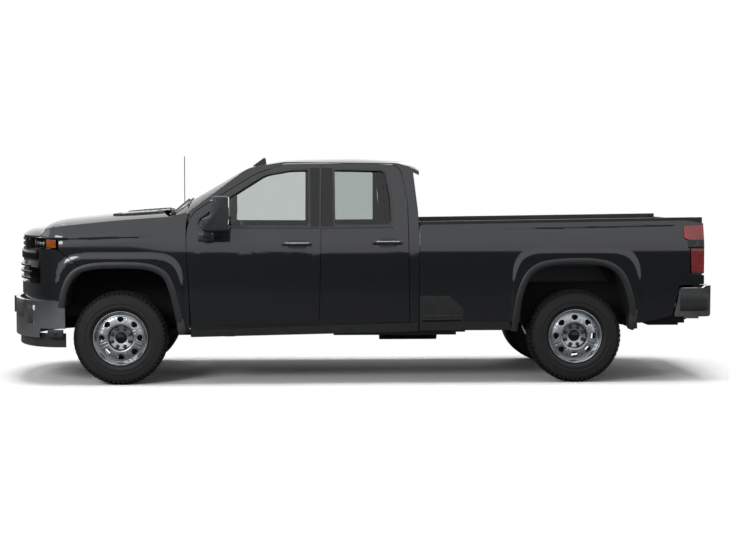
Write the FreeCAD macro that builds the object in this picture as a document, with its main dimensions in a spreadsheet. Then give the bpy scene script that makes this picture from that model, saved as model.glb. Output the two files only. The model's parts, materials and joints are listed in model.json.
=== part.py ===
import FreeCAD, Part
import math
import operator
import os
import Sketcher
from FreeCAD import Placement, Rotation, Vector

doc = FreeCAD.newDocument("PickupTruck")

# Driving dimensions in millimetres. The front of the truck faces -X, its left side faces -Y,
# and the origin is on the ground under the middle of the overall length.
SIZES = {
    # Whole vehicle
    "wheelbase": 4128,
    "front_axle_x": -2178,
    "body_half": 1039.5,
    "shut_gap": 6,
    "seat_gap": 0.3,
    "skin": 9,
    # Wheels and tyres
    "tyre_radius": 421.5,
    "tyre_width": 275,
    "tyre_bead_radius": 232,
    "track_half": 870,
    "rim_flange_radius": 246,
    "rim_well_radius": 196,
    "rim_half_width": 112,
    "rim_disc_offset": 58,
    "bowl_radius": 118,
    "hub_radius": 72,
    "hub_cap_radius": 47,
    "rim_window_radius": 169,
    "rim_window_size": 26,
    "brake_disc_radius": 178,
    "brake_disc_width": 34,
    "kingpin_y": 745,
    "kingpin_radius": 30,
    "hub_seat_y": 772,
    # Ladder frame
    "rail_outer": 432,
    "rail_width": 72,
    "rail_depth": 170,
    "rail_cab_z": 640,
    "rail_rise": 110,
    "rail_front_x": -2900,
    "rail_rear_x": 3040,
    "cross_width": 90,
    "cross_depth": 90,
    "receiver_inner": 51,
    "receiver_wall": 8,
    "receiver_length": 240,
    "receiver_z": 520,
    "receiver_pin_radius": 8,
    "receiver_pin_setback": 58,
    "ball_hole_radius": 13,
    # Axles
    "beam_radius": 48,
    "diff_radius": 150,
    "leaf_y": 500,
    "leaf_width": 76,
    "leaf_half_length": 720,
    # Engine and transmission
    "engine_length": 720,
    "engine_half_width": 300,
    "engine_bottom_z": 600,
    "engine_depth": 560,
    "engine_front_x": -2440,
    "gearbox_length": 900,
    "gearbox_half_width": 170,
    "shaft_radius": 45,
    # Cab
    "floor_z": 695,
    "floor_thick": 30,
    "cab_front_x": -1520,
    "cab_rear_x": 515,
    "sill_z": 480,
    "belt_z": 1425,
    "door_thick": 92,
    "frame_thick": 42,
    "door_inset": 16,
    "ring_thick": 48,
    "roof_half": 735,
    "roof_z": 2045,
    "roof_thick": 38,
    "glass_thick": 5,
    # Bed
    "bed_front_x": 518,
    "bed_rear_x": 3124,
    "bed_floor_z": 925,
    "bed_floor_thick": 22,
    "bed_inner_half": 845,
    "bed_bottom_z": 562,
    "rail_top_front_z": 1470,
    "rail_top_rear_z": 1506,
    "tailgate_thick": 62,
    "tailgate_bottom_z": 905,
    "wheelhouse_half": 650,
    "wheelhouse_top_z": 1165,
    # Doors, hood and tailgate pivots
    "door_hinge_x": -1580,
    "rear_door_hinge_x": -392,
    "hood_hinge_x": -1728,
    "hood_hinge_z": 1508,
    "tailgate_hinge_x": 3108,
    "tailgate_hinge_z": 930,
    "gate_pin_radius": 7,
}

sheet = doc.addObject("Spreadsheet::Sheet", "Dims")
for row, (alias, number) in enumerate(SIZES.items(), start=1):
    sheet.set("A%d" % row, alias.replace("_", " "))
    sheet.set("B%d" % row, str(number))
    sheet.setAlias("B%d" % row, alias)
doc.recompute()


class Dim:
    """A size that carries both its spreadsheet expression and its present value."""

    def __init__(self, text, value):
        self.text = text
        self.value = value

    def combined(self, other, sign, work, swap=False):
        other = other if isinstance(other, Dim) else Dim(repr(float(other)), float(other))
        first, second = (other, self) if swap else (self, other)
        return Dim("(%s %s %s)" % (first.text, sign, second.text), work(first.value, second.value))

    def __add__(self, other):
        return self.combined(other, "+", operator.add)

    def __sub__(self, other):
        return self.combined(other, "-", operator.sub)

    def __mul__(self, other):
        return self.combined(other, "*", operator.mul)

    def __truediv__(self, other):
        return self.combined(other, "/", operator.truediv)

    def __radd__(self, other):
        return self.combined(other, "+", operator.add, swap=True)

    def __rsub__(self, other):
        return self.combined(other, "-", operator.sub, swap=True)

    def __rmul__(self, other):
        return self.combined(other, "*", operator.mul, swap=True)

    def __neg__(self):
        return self * -1

    def __float__(self):
        return float(self.value)


class Sizes:
    """Every cell of the sheet as a named size."""

    def __getattr__(self, alias):
        if alias not in SIZES:
            raise AttributeError(alias)
        return Dim("Dims." + alias, float(sheet.get(alias)))


D = Sizes()


def bind(item, prop, size):
    item.setExpression(prop, size.text if isinstance(size, Dim) else repr(float(size)))


def place(item, x=0, y=0, z=0):
    bind(item, "Placement.Base.x", x)
    bind(item, "Placement.Base.y", y)
    bind(item, "Placement.Base.z", z)


def box(name, x, y, z):
    """A block between the low and high places given for each axis."""
    item = doc.addObject("Part::Box", name)
    bind(item, "Length", x[1] - x[0])
    bind(item, "Width", y[1] - y[0])
    bind(item, "Height", z[1] - z[0])
    place(item, x[0], y[0], z[0])
    return item


AXES = {"x": Vector(1, 0, 0), "y": Vector(0, 1, 0), "z": Vector(0, 0, 1)}


def rod(name, axis, radius, length, x, y, z):
    """A round bar that starts at a place and runs along one axis."""
    item = doc.addObject("Part::Cylinder", name)
    item.Placement = Placement(Vector(), Rotation(Vector(0, 0, 1), AXES[axis]))
    bind(item, "Radius", radius)
    bind(item, "Height", length)
    place(item, x, y, z)
    return item


def cut(name, base, *tools):
    tool = tools[0] if len(tools) == 1 else fuse(name + "Tools", *tools)
    item = doc.addObject("Part::Cut", name)
    item.Base = base
    item.Tool = tool
    return item


def fuse(name, *items):
    item = doc.addObject("Part::MultiFuse", name)
    item.Shapes = list(items)
    return item


def common(name, first, second):
    item = doc.addObject("Part::Common", name)
    item.Base = first
    item.Tool = second
    return item


def group(name, *items):
    item = doc.addObject("Part::Compound", name)
    item.Links = list(items)
    return item


def mirrored(name, source):
    """The same piece on the other side of the truck."""
    item = doc.addObject("Part::Mirroring", name)
    item.Source = source
    item.Normal = Vector(0, 1, 0)
    return item


def outline(body, role, points, offset=0):
    """A closed outline of straight sides on one of the body's own planes."""
    sketch = body.newObject("Sketcher::SketchObject", body.Name + "Outline")
    plane = [item for item in body.Origin.OriginFeatures if item.Role == role][0]
    sketch.AttachmentSupport = [(plane, "")]
    sketch.MapMode = "FlatFace"
    bind(sketch, "AttachmentOffset.Base.z", offset)
    count = len(points)
    corners = [Vector(float(across), float(up), 0) for across, up in points]
    for index in range(count):
        sketch.addGeometry(Part.LineSegment(corners[index], corners[(index + 1) % count]))
    for index in range(count):
        sketch.addConstraint(Sketcher.Constraint("Coincident", index, 2, (index + 1) % count, 1))
    for index, (across, up) in enumerate(points):
        for kind, size in (("DistanceX", across), ("DistanceY", up)):
            number = sketch.addConstraint(Sketcher.Constraint(kind, -1, 1, index, 1, float(size)))
            bind(sketch, "Constraints[%d]" % number, size)
    return sketch


def prism(name, role, points, start, end):
    """A straight-sided plate between two distances along a plane's normal.

    The normal of XZ_Plane points to the left side, -Y, of XY_Plane up and of YZ_Plane to +X.
    """
    body = doc.addObject("PartDesign::Body", name)
    sketch = outline(body, role, points, start)
    pad = body.newObject("PartDesign::Pad", name + "Pad")
    pad.Profile = sketch
    bind(pad, "Length", end - start)
    return body


def turned(name, points):
    """A solid of revolution about the Y axis, from (radius, y) points."""
    body = doc.addObject("PartDesign::Body", name)
    sketch = outline(body, "XY_Plane", points)
    spin = body.newObject("PartDesign::Revolution", name + "Spin")
    spin.Profile = sketch
    spin.ReferenceAxis = (sketch, ["V_Axis"])
    spin.Angle = 360
    return body


def feature(name, shape):
    item = doc.addObject("Part::Feature", name)
    item.Shape = shape
    item.Placement = Placement()
    return item


def skin_solid(name, outer, inner, along, across):
    """A closed panel between two curved faces, each drawn through formula points."""

    def face(point):
        surface = Part.BSplineSurface()
        surface.interpolate([[point(a, b) for b in across] for a in along])
        return surface

    front = face(outer)
    back = face(inner)

    def edges(surface):
        u_low, u_high, v_low, v_high = surface.bounds()
        curves = (surface.uIso(u_low), surface.uIso(u_high), surface.vIso(v_low), surface.vIso(v_high))
        return [curve.toShape() for curve in curves]

    sides = [Part.makeRuledSurface(a, b) for a, b in zip(edges(front), edges(back))]
    shell = Part.makeShell([front.toShape(), back.toShape()] + sides)
    shell.sewShape()
    solid = Part.makeSolid(shell)
    if solid.Volume < 0:
        solid.reverse()
    return feature(name, solid)


def steps(low, high, size):
    """Evenly spaced places from low to high, about one size apart."""
    count = max(int(round((high - low) / size)), 2)
    return [low + (high - low) * index / count for index in range(count + 1)]


def rounded_wire(points, lift):
    """A closed outline of (across, up, radius) corners with tangent arcs, mapped by lift."""
    edges = []
    count = len(points)
    ends = []
    for index in range(count):
        before, corner, after = points[index - 1], points[index], points[(index + 1) % count]
        here = Vector(corner[0], corner[1], 0)
        back = (Vector(before[0], before[1], 0) - here).normalize()
        ahead = (Vector(after[0], after[1], 0) - here).normalize()
        turn = back.getAngle(ahead)
        reach = corner[2] / math.tan(turn / 2) if corner[2] else 0
        bulge = corner[2] / math.sin(turn / 2) - corner[2] if corner[2] else 0
        middle = (back + ahead).normalize() * bulge
        ends.append((here + back * reach, here + middle, here + ahead * reach, bool(corner[2])))
    for index in range(count):
        start, middle, stop, is_round = ends[index]
        if is_round:
            edges.append(Part.Arc(lift(start), lift(middle), lift(stop)).toShape())
        following = ends[(index + 1) % count][0]
        if (following - stop).Length > 1e-6:
            edges.append(Part.LineSegment(lift(stop), lift(following)).toShape())
    return Part.Wire(edges)


def side_cutter(name, points, low=600, high=1200):
    """A prism with rounded corners that runs out to the left through (x, z, radius) points."""
    numbers = [(float(x), float(z), float(radius)) for x, z, radius in points]
    wire = rounded_wire(numbers, lambda p: Vector(p.x, -low, p.y))
    return feature(name, Part.Face(wire).extrude(Vector(0, low - high, 0)))


def plan_cutter(name, points, low, high):
    """A prism with rounded corners that runs up through (x, y, radius) points."""
    numbers = [(float(x), float(y), float(radius)) for x, y, radius in points]
    wire = rounded_wire(numbers, lambda p: Vector(p.x, p.y, low))
    return feature(name, Part.Face(wire).extrude(Vector(0, 0, high - low)))


def front_cutter(name, points, low, high):
    """A prism with rounded corners that runs along X through (y, z, radius) points."""
    numbers = [(float(y), float(z), float(radius)) for y, z, radius in points]
    wire = rounded_wire(numbers, lambda p: Vector(low, p.x, p.y))
    return feature(name, Part.Face(wire).extrude(Vector(high - low, 0, 0)))


def inset(points, distance):
    """The same outline drawn in by a distance, or out by a negative one."""
    count = len(points)
    area = sum(points[i][0] * points[(i + 1) % count][1] - points[(i + 1) % count][0] * points[i][1]
               for i in range(count))
    side = 1 if area > 0 else -1
    moved = []
    for index in range(count):
        before, corner, after = points[index - 1], points[index], points[(index + 1) % count]
        first = (corner[0] - before[0], corner[1] - before[1])
        second = (after[0] - corner[0], after[1] - corner[1])
        first_length = math.hypot(*first)
        second_length = math.hypot(*second)
        first_normal = (-first[1] / first_length * side, first[0] / first_length * side)
        second_normal = (-second[1] / second_length * side, second[0] / second_length * side)
        dot = first_normal[0] * second_normal[0] + first_normal[1] * second_normal[1]
        scale = distance / (1 + dot)
        moved.append((corner[0] + (first_normal[0] + second_normal[0]) * scale,
                      corner[1] + (first_normal[1] + second_normal[1]) * scale,
                      max(corner[2] - distance, 4) if corner[2] else 0))
    return moved


NODES = []


def node(label, item):
    """Names a finished sub-part, whose label is its node and its file."""
    item.Label = label
    NODES.append(item)
    return item


def left_and_right(name, item):
    node(name + "_left", item)
    return node(name + "_right", mirrored(item.Name + "Right", item))


# The body side is one formula, so that the seams between its panels line up.
FRONT_X = float(D.front_axle_x)
REAR_X = float(D.front_axle_x + D.wheelbase)
NOSE_START_X = FRONT_X - 485
FRONT_TIP_X = -3260
NOSE_LENGTH = 492
NOSE_POWER = 2.2
BELT_Z = float(D.belt_z)


def soft_ramp(distance, softness):
    """Zero before a crease, a straight slope after it, and a round turn between."""
    return (distance + math.sqrt(distance * distance + softness * softness)) / 2


def smooth_step(value):
    value = min(max(value, 0), 1)
    return value * value * (3 - 2 * value)


def nose_fraction(x):
    """How far the sides have drawn in at the rounded nose, from 1 to 0 at its tip."""
    ahead = min(max((NOSE_START_X - x) / NOSE_LENGTH, 0), 1)
    return max(1 - ahead ** NOSE_POWER, 0) ** (1 / NOSE_POWER)


def blister(x, z, centre_x, half_length, height, edge=38):
    """The raised field round a wheel arch."""
    across = abs(x - centre_x) / half_length
    up = abs(z - float(D.tyre_radius)) / height
    reach = (across ** 6 + up ** 6) ** (1 / 6)
    return smooth_step((1 - reach) * height / edge)


GROOVE_DEPTH = 9
GROOVE_FADE = 110


def groove(x, z, start, finish, top, foot):
    """The depth share of a hollow whose sharp top and soft foot are two slanting lines."""
    along = (x - top[0]) / (top[2] - top[0])
    top_z = top[1] + along * (top[3] - top[1])
    foot_z = foot[1] + along * (foot[3] - foot[1])
    fade = smooth_step((x - start) / GROOVE_FADE) * smooth_step((finish - x) / GROOVE_FADE)
    return fade * smooth_step((top_z - z) / 16) * smooth_step((z - foot_z) / max(top_z - foot_z, 1))


def side_half(x, z, plain=False):
    """Half of the body's width at a place along it and a height, with or without the arches' fields."""
    shoulder = 1262 + 75 * smooth_step((-1650 - x) / 500)
    slope = 0.27 + 0.16 * smooth_step((-1650 - x) / 500)
    half = float(D.body_half)
    half -= 24 * (max(900 - z, 0) / 400) ** 2
    half -= slope * soft_ramp(z - shoulder, 26)
    half -= (0.349 - 0.27) * soft_ramp(z - BELT_Z, 20)
    half -= 12 * (max(x - 2700, 0) / 424) ** 2
    if not plain:
        half += 9 * blister(x, z, FRONT_X, 580, 768)
        half += 9 * blister(x, z, REAR_X, 600, 815)
        half -= GROOVE_DEPTH * groove(x, z, -3200, -1790, (-2738, 1322, -1774, 1345),
                                      (-2738, 1256, -1774, 1306))
        half -= GROOVE_DEPTH * groove(x, z, 1190, 2940, (1190, 1402, 2934, 1440), (1190, 1374, 2934, 1330))
    return half * nose_fraction(x)


def side_panel(name, x_range, z_range, depth, spacing, start_depth=0, plain=False):
    """A slab of the left body side, between two depths inside its skin."""

    def outer(x, z):
        return Vector(x, start_depth - side_half(x, z, plain), z)

    def inner(x, z):
        return Vector(x, depth - side_half(x, z, plain), z)

    along = steps(x_range[0], x_range[1], spacing[0])
    up = steps(z_range[0], z_range[1], spacing[1])
    return skin_solid(name, outer, inner, along, up)


def arch_cutter(name, centre_x, half_length, height, power, low, high, bottom=-30):
    """A wheel arch's opening: a rounded arch whose legs run straight down."""
    centre_z = float(D.tyre_radius)
    points = []
    for index in range(25):
        angle = math.pi * index / 24
        across = math.copysign(abs(math.cos(angle)) ** (2 / power), math.cos(angle)) * half_length
        up = abs(math.sin(angle)) ** (2 / power) * height
        points.append(Vector(centre_x - across, -low, centre_z + up))
    curve = Part.BSplineCurve()
    curve.interpolate(points)
    left_foot = Vector(points[0].x, -low, bottom)
    right_foot = Vector(points[-1].x, -low, bottom)
    edges = [curve.toShape(),
             Part.LineSegment(points[-1], right_foot).toShape(),
             Part.LineSegment(right_foot, left_foot).toShape(),
             Part.LineSegment(left_foot, points[0]).toShape()]
    return feature(name, Part.Face(Part.Wire(edges)).extrude(Vector(0, low - high, 0)))


FLOOR = D.floor_z
AXLE_Z = D.tyre_radius
FRONT_AXLE = D.front_axle_x
REAR_AXLE = D.front_axle_x + D.wheelbase


# Ladder frame: two rails that step up over the axles, crossmembers, body mounts and the receiver
def rail_outline():
    top = D.rail_cab_z
    high = D.rail_cab_z + D.rail_rise
    line = [(D.rail_front_x, high), (FRONT_AXLE + 400, high), (FRONT_AXLE + 570, top),
            (REAR_AXLE - 700, top), (REAR_AXLE - 420, high), (REAR_AXLE + 520, high),
            (REAR_AXLE + 800, top), (D.rail_rear_x, top)]
    low = [(x, z - D.rail_depth) for x, z in line]
    return line + low[::-1]


rail_left = prism("RailLeft", "XZ_Plane", rail_outline(), D.rail_outer - D.rail_width, D.rail_outer)
rail_inner = D.rail_outer - D.rail_width
cross_places = {
    "Nose": (D.rail_front_x + 40, D.rail_cab_z + D.rail_rise),
    "Middle": (300, D.rail_cab_z),
    "AxleFront": (REAR_AXLE - 300, D.rail_cab_z + D.rail_rise),
    "AxleRear": (REAR_AXLE + 400, D.rail_cab_z + D.rail_rise),
    "Tail": (D.rail_rear_x - 160, D.rail_cab_z),
}
frame_pieces = [rail_left, mirrored("RailRight", rail_left)]
for name, (x, top) in cross_places.items():
    drop = D.cross_depth + 40
    piece = box("Cross" + name, (x, x + D.cross_width), (-rail_inner - 1, rail_inner + 1),
                (top - drop, top - 40))
    frame_pieces.append(piece)
for index, x in enumerate((-1400, -420, 380)):
    for side in (-1, 1):
        y = side * (D.rail_outer - D.rail_width / 2)
        frame_pieces.append(rod("CabMount%d%s" % (index, "LR"[side > 0]), "z", 36,
                                FLOOR - D.floor_thick - D.rail_cab_z + 5, x, y, D.rail_cab_z - 5))
gearbox_low = FLOOR - 260
carrier_x = -1260
frame_pieces.append(box("GearboxCarrier", (carrier_x, carrier_x + D.cross_width),
                        (-D.rail_outer, D.rail_outer),
                        (gearbox_low - 55, gearbox_low - D.seat_gap)))
for side in (-1, 1):
    letter = "LR"[side > 0]
    low_y = -D.rail_outer if side < 0 else D.rail_outer - D.rail_width
    frame_pieces.append(box("CarrierEnd" + letter, (carrier_x, carrier_x + D.cross_width),
                            (low_y, low_y + D.rail_width),
                            (gearbox_low - 55, D.rail_cab_z - D.rail_depth + 1)))
    near_y = D.engine_half_width + D.seat_gap
    far_y = D.rail_outer - D.rail_width + 1
    frame_pieces.append(box("EngineMount" + letter, (FRONT_AXLE + 60, FRONT_AXLE + 160),
                            (near_y, far_y) if side > 0 else (-far_y, -near_y),
                            (D.rail_cab_z - 10, D.rail_cab_z + 80)))
bed_sill_low = D.bed_floor_z - D.bed_floor_thick - 70
for index, x in enumerate((REAR_AXLE - 560, REAR_AXLE + 100, REAR_AXLE + 760)):
    top = D.rail_cab_z + D.rail_rise if index == 1 else D.rail_cab_z + 30
    for side in (-1, 1):
        y = side * (D.rail_outer - D.rail_width / 2)
        frame_pieces.append(rod("BedMount%d%s" % (index, "LR"[side > 0]), "z", 34,
                                bed_sill_low - top + 60, x, y, top - 60))
for side in (-1, 1):
    letter = "LR"[side > 0]
    low_y = -D.rail_outer if side < 0 else rail_inner
    frame_pieces.append(box("BumperHorn" + letter, (D.rail_front_x - 255, D.rail_front_x + 1),
                            (low_y, low_y + D.rail_width), (D.rail_cab_z - 60, D.rail_cab_z + 60)))
    frame_pieces.append(box("RearHorn" + letter, (D.rail_rear_x - 1, D.rail_rear_x + 60),
                            (low_y, low_y + D.rail_width), (D.rail_cab_z - 150, D.rail_cab_z - 30)))
frame_pieces.append(box("ReceiverTube", (D.rail_rear_x - 260, D.rail_rear_x - 180),
                        (-D.rail_outer, D.rail_outer), (D.receiver_z - 40, D.receiver_z + 40)))
receiver_half = D.receiver_inner / 2 + D.receiver_wall
receiver_x = D.rail_rear_x - 60
frame_pieces.append(box("ReceiverBlock", (receiver_x, receiver_x + D.receiver_length),
                        (-receiver_half, receiver_half),
                        (D.receiver_z - receiver_half, D.receiver_z + receiver_half)))
frame_pieces.append(box("ReceiverNeck", (D.rail_rear_x - 200, receiver_x + 1), (-60, 60),
                        (D.receiver_z - 36, D.receiver_z + 36)))
receiver_end = receiver_x + D.receiver_length
socket = box("ReceiverSocket", (receiver_x + 20, receiver_end + 5),
             (-D.receiver_inner / 2, D.receiver_inner / 2),
             (D.receiver_z - D.receiver_inner / 2, D.receiver_z + D.receiver_inner / 2))
pin_hole = rod("ReceiverPinHole", "y", D.receiver_pin_radius, 200,
               receiver_end - D.receiver_pin_setback, -100, D.receiver_z)
node("frame", cut("Frame", fuse("FrameSteel", *frame_pieces), socket, pin_hole))

# Engine, gearbox, transfer case and propeller shafts
engine_rear = D.engine_front_x + D.engine_length
gearbox_rear = engine_rear + D.gearbox_length
engine = box("Engine", (D.engine_front_x, engine_rear), (-D.engine_half_width, D.engine_half_width),
             (D.engine_bottom_z, D.engine_bottom_z + D.engine_depth))
gearbox = box("Gearbox", (engine_rear - 1, engine_rear + 560),
              (-D.gearbox_half_width, D.gearbox_half_width), (gearbox_low, FLOOR - 50))
transfer = box("TransferCase", (engine_rear + 559, engine_rear + 750), (-150, 290),
               (FLOOR - 310, FLOOR - 100))
node("powertrain", fuse("Powertrain", engine, gearbox, transfer))


# Front beam axle with its springs, dampers and tie rod
axle_tip = 640
beam = rod("FrontBeam", "y", D.beam_radius, 2 * axle_tip, FRONT_AXLE, -axle_tip, AXLE_Z)
front_parts = [beam]
ball = doc.addObject("Part::Sphere", "FrontDifferential")
bind(ball, "Radius", D.diff_radius - 15)
place(ball, FRONT_AXLE, 180, AXLE_Z)
front_parts.append(ball)
front_parts.append(rod("FrontPinion", "x", 52, 190, FRONT_AXLE + 60, 180, AXLE_Z))
rail_low_front = D.rail_cab_z + D.rail_rise - D.rail_depth
for side in (-1, 1):
    letter = "LR"[side > 0]
    y = side * (D.rail_outer - D.rail_width / 2)
    front_parts.append(rod("FrontSpring" + letter, "z", 62, rail_low_front - AXLE_Z, FRONT_AXLE, y, AXLE_Z))
    front_parts.append(rod("FrontDamper" + letter, "z", 26, rail_low_front - AXLE_Z + 40, FRONT_AXLE + 120,
                           side * (D.rail_outer - 30), AXLE_Z - 40))
    front_parts.append(box("DamperFoot" + letter, (FRONT_AXLE + 10, FRONT_AXLE + 130),
                           (side * (D.rail_outer - 30) - 20, side * (D.rail_outer - 30) + 20),
                           (AXLE_Z - 30, AXLE_Z + 10)))
    yoke_reach = (605, 748)
    low_y, high_y = yoke_reach if side > 0 else (-yoke_reach[1], -yoke_reach[0])
    for level, low_z in (("Upper", AXLE_Z + 125.3), ("Lower", AXLE_Z - 149.3)):
        front_parts.append(box("Yoke" + level + letter, (FRONT_AXLE - 32, FRONT_AXLE + 32), (low_y, high_y),
                               (low_z, low_z + 24)))
    front_parts.append(box("YokePlate" + letter, (FRONT_AXLE - 32, FRONT_AXLE + 32),
                           (min(side * 605, side * 640), max(side * 605, side * 640)),
                           (AXLE_Z - 149.3, AXLE_Z + 149.3)))
    front_parts.append(box("TrailingArm" + letter, (FRONT_AXLE + 20, FRONT_AXLE + 760),
                           (y - 26, y + 26), (AXLE_Z - 26, AXLE_Z + 26)))
    front_parts.append(box("ArmBracket" + letter, (FRONT_AXLE + 700, FRONT_AXLE + 790),
                           (y - 36, y + 36), (AXLE_Z - 40, D.rail_cab_z - D.rail_depth - D.seat_gap)))
node("front_axle", fuse("FrontAxle", *front_parts))

# Rear axle with its leaf springs and dampers
rear_tip = D.hub_seat_y - D.seat_gap
rear_parts = [rod("RearBeam", "y", D.beam_radius + 8, 2 * rear_tip, REAR_AXLE, -rear_tip, AXLE_Z)]
ball = doc.addObject("Part::Sphere", "RearDifferential")
bind(ball, "Radius", D.diff_radius)
place(ball, REAR_AXLE, 0, AXLE_Z)
rear_parts.append(ball)
rear_parts.append(rod("RearPinion", "x", 60, 220, REAR_AXLE - 260, 0, AXLE_Z))
leaf_top = AXLE_Z + 110
for side in (-1, 1):
    letter = "LR"[side > 0]
    y = side * D.leaf_y
    low_y = y - D.leaf_width / 2
    high_y = y + D.leaf_width / 2
    for level, share in enumerate((1, 0.72, 0.45)):
        half = D.leaf_half_length * share
        rear_parts.append(box("Leaf%d%s" % (level, letter), (REAR_AXLE - half, REAR_AXLE + half),
                              (low_y, high_y), (leaf_top - 14 - 14 * level, leaf_top - 14 * level)))
    rear_parts.append(box("SpringSeat" + letter, (REAR_AXLE - 70, REAR_AXLE + 70), (low_y, high_y),
                          (AXLE_Z, leaf_top - 28)))
    for end in (-1, 1):
        x = REAR_AXLE + end * (D.leaf_half_length - 30)
        rear_parts.append(box("Hanger%s%d" % (letter, end > 0), (x - 40, x + 40), (low_y, high_y),
                              (leaf_top - 20, D.rail_cab_z - 40)))
        inner_y = D.rail_outer + D.seat_gap if side > 0 else -(D.leaf_y)
        outer_y = D.leaf_y + 0 if side > 0 else -(D.rail_outer + D.seat_gap)
        rear_parts.append(box("HangerPlate%s%d" % (letter, end > 0), (x - 50, x + 50),
                              (inner_y, outer_y), (leaf_top, D.rail_cab_z - 20)))
    rear_parts.append(rod("RearDamper" + letter, "z", 28, 330, REAR_AXLE + 110, side * (D.leaf_y + 78),
                          AXLE_Z - 30))
    rear_parts.append(box("RearDamperFoot" + letter, (REAR_AXLE + 40, REAR_AXLE + 120),
                          (min(side, 0) * 608 + max(side, 0) * 470,
                           min(side, 0) * 470 + max(side, 0) * 608),
                          (AXLE_Z - 20, AXLE_Z + 10)))
node("rear_axle", fuse("RearAxle", *rear_parts))

# Exhaust: pipe, muffler and tail pipe behind the right rear wheel
exhaust_y = 290
exhaust = fuse(
    "Exhaust",
    rod("ExhaustPipe", "x", 40, 1200, engine_rear + 760, exhaust_y, FLOOR - 305),
    rod("Muffler", "x", 105, 560, engine_rear + 1950, exhaust_y - 60, FLOOR - 310),
    rod("TailPipe", "x", 42, 300, engine_rear + 2500, exhaust_y - 40, FLOOR - 305),
    box("PipeHanger", (-700, -680), (exhaust_y, 420), (FLOOR - 275, D.rail_cab_z - D.rail_depth)),
    box("TailHanger", (900, 920), (exhaust_y - 40, 420), (FLOOR - 275, D.rail_cab_z - D.rail_depth)))
node("exhaust", exhaust)

# Fuel tank slung on the left rail
tank = box("FuelTank", (-250, 880), (-D.rail_outer - 330, -D.rail_outer - D.seat_gap),
           (FLOOR - 275, FLOOR - 50))
node("fuel_tank", tank)

# Wheels: tyre, rim and brake disc, each turned about its own axle
tread_half = D.tyre_width / 2
tyre_profile = [
    (D.tyre_bead_radius, 12.3 - D.rim_half_width), (D.rim_flange_radius + 2, 6.3 - D.rim_half_width),
    (D.rim_flange_radius + 40, -tread_half + 2),
    (D.tyre_radius - 75, -tread_half), (D.tyre_radius - 22, -tread_half + 14),
    (D.tyre_radius, -tread_half + 40), (D.tyre_radius, tread_half - 40),
    (D.tyre_radius - 22, tread_half - 14), (D.tyre_radius - 75, tread_half),
    (D.rim_flange_radius + 40, tread_half - 2), (D.rim_flange_radius + 2, D.rim_half_width - 6.3),
    (D.tyre_bead_radius, D.rim_half_width - 12.3)]
rim_half = D.rim_half_width
rim_profile = [
    (0, -D.rim_disc_offset + 26), (D.hub_cap_radius, -D.rim_disc_offset + 26),
    (D.hub_cap_radius + 3, -D.rim_disc_offset + 40), (D.bowl_radius - 14, -D.rim_disc_offset + 40),
    (D.bowl_radius, -D.rim_disc_offset), (D.rim_window_radius - 36, -D.rim_disc_offset - 22),
    (D.rim_window_radius + 30, -D.rim_disc_offset - 14), (D.rim_well_radius + 6, -D.rim_disc_offset + 4),
    (D.tyre_bead_radius - 16, -rim_half), (D.rim_flange_radius, -rim_half - 4),
    (D.rim_flange_radius, -rim_half + 6), (D.tyre_bead_radius - D.seat_gap, -rim_half + 12),
    (D.tyre_bead_radius - D.seat_gap, -rim_half + 50), (D.rim_well_radius + 14, -rim_half + 70),
    (D.rim_well_radius + 14, rim_half - 60), (D.tyre_bead_radius - D.seat_gap, rim_half - 40),
    (D.tyre_bead_radius - D.seat_gap, rim_half - 12), (D.rim_flange_radius, rim_half - 6),
    (D.rim_flange_radius, rim_half), (D.tyre_bead_radius - 14, rim_half - 4),
    (D.rim_well_radius, rim_half - 58), (D.rim_well_radius, -D.rim_disc_offset + 24),
    (D.rim_window_radius + 32, -D.rim_disc_offset + 4), (D.rim_window_radius - 30, -D.rim_disc_offset - 4),
    (D.bowl_radius + 8, -D.rim_disc_offset + 20), (D.bowl_radius - 6, -D.rim_disc_offset + 62),
    (0, -D.rim_disc_offset + 62)]


def wheel_side(tag):
    """The left wheel's two pieces, centred on their own axle."""
    tyre = turned("Tyre" + tag, tyre_profile)
    rim = turned("RimTurned" + tag, rim_profile)
    windows = []
    for index in range(8):
        angle = index * math.pi / 4
        window = rod("Window%d%s" % (index, tag), "y", D.rim_window_size, 60,
                     D.rim_window_radius * math.cos(angle), -D.rim_disc_offset - 40,
                     D.rim_window_radius * math.sin(angle))
        windows.append(window)
    hub = rod("Hub" + tag, "y", D.hub_radius, D.track_half - D.hub_seat_y + D.rim_disc_offset - 61, 0,
              -D.rim_disc_offset + 61, 0)
    disc = rod("Disc" + tag, "y", D.brake_disc_radius, D.brake_disc_width, 0,
               D.track_half - D.hub_seat_y - D.brake_disc_width - 12, 0)
    wheel = cut("Rim" + tag, fuse("RimSolid" + tag, rim, hub, disc), *windows)
    return tyre, wheel


for axle_name, axle_x in (("front", FRONT_AXLE), ("rear", REAR_AXLE)):
    for side_name in ("left", "right"):
        tag = axle_name.capitalize() + side_name.capitalize()
        tyre, wheel = wheel_side(tag)
        for label, piece in (("tyre", tyre), ("wheel", wheel)):
            side = -1 if side_name == "left" else 1
            if side > 0:
                piece.Placement = Placement(Vector(), Rotation(Vector(0, 0, 1), 180))
            place(piece, axle_x, side * D.track_half, AXLE_Z)
            node("%s_%s_%s" % (label, axle_name, side_name), piece)

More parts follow.
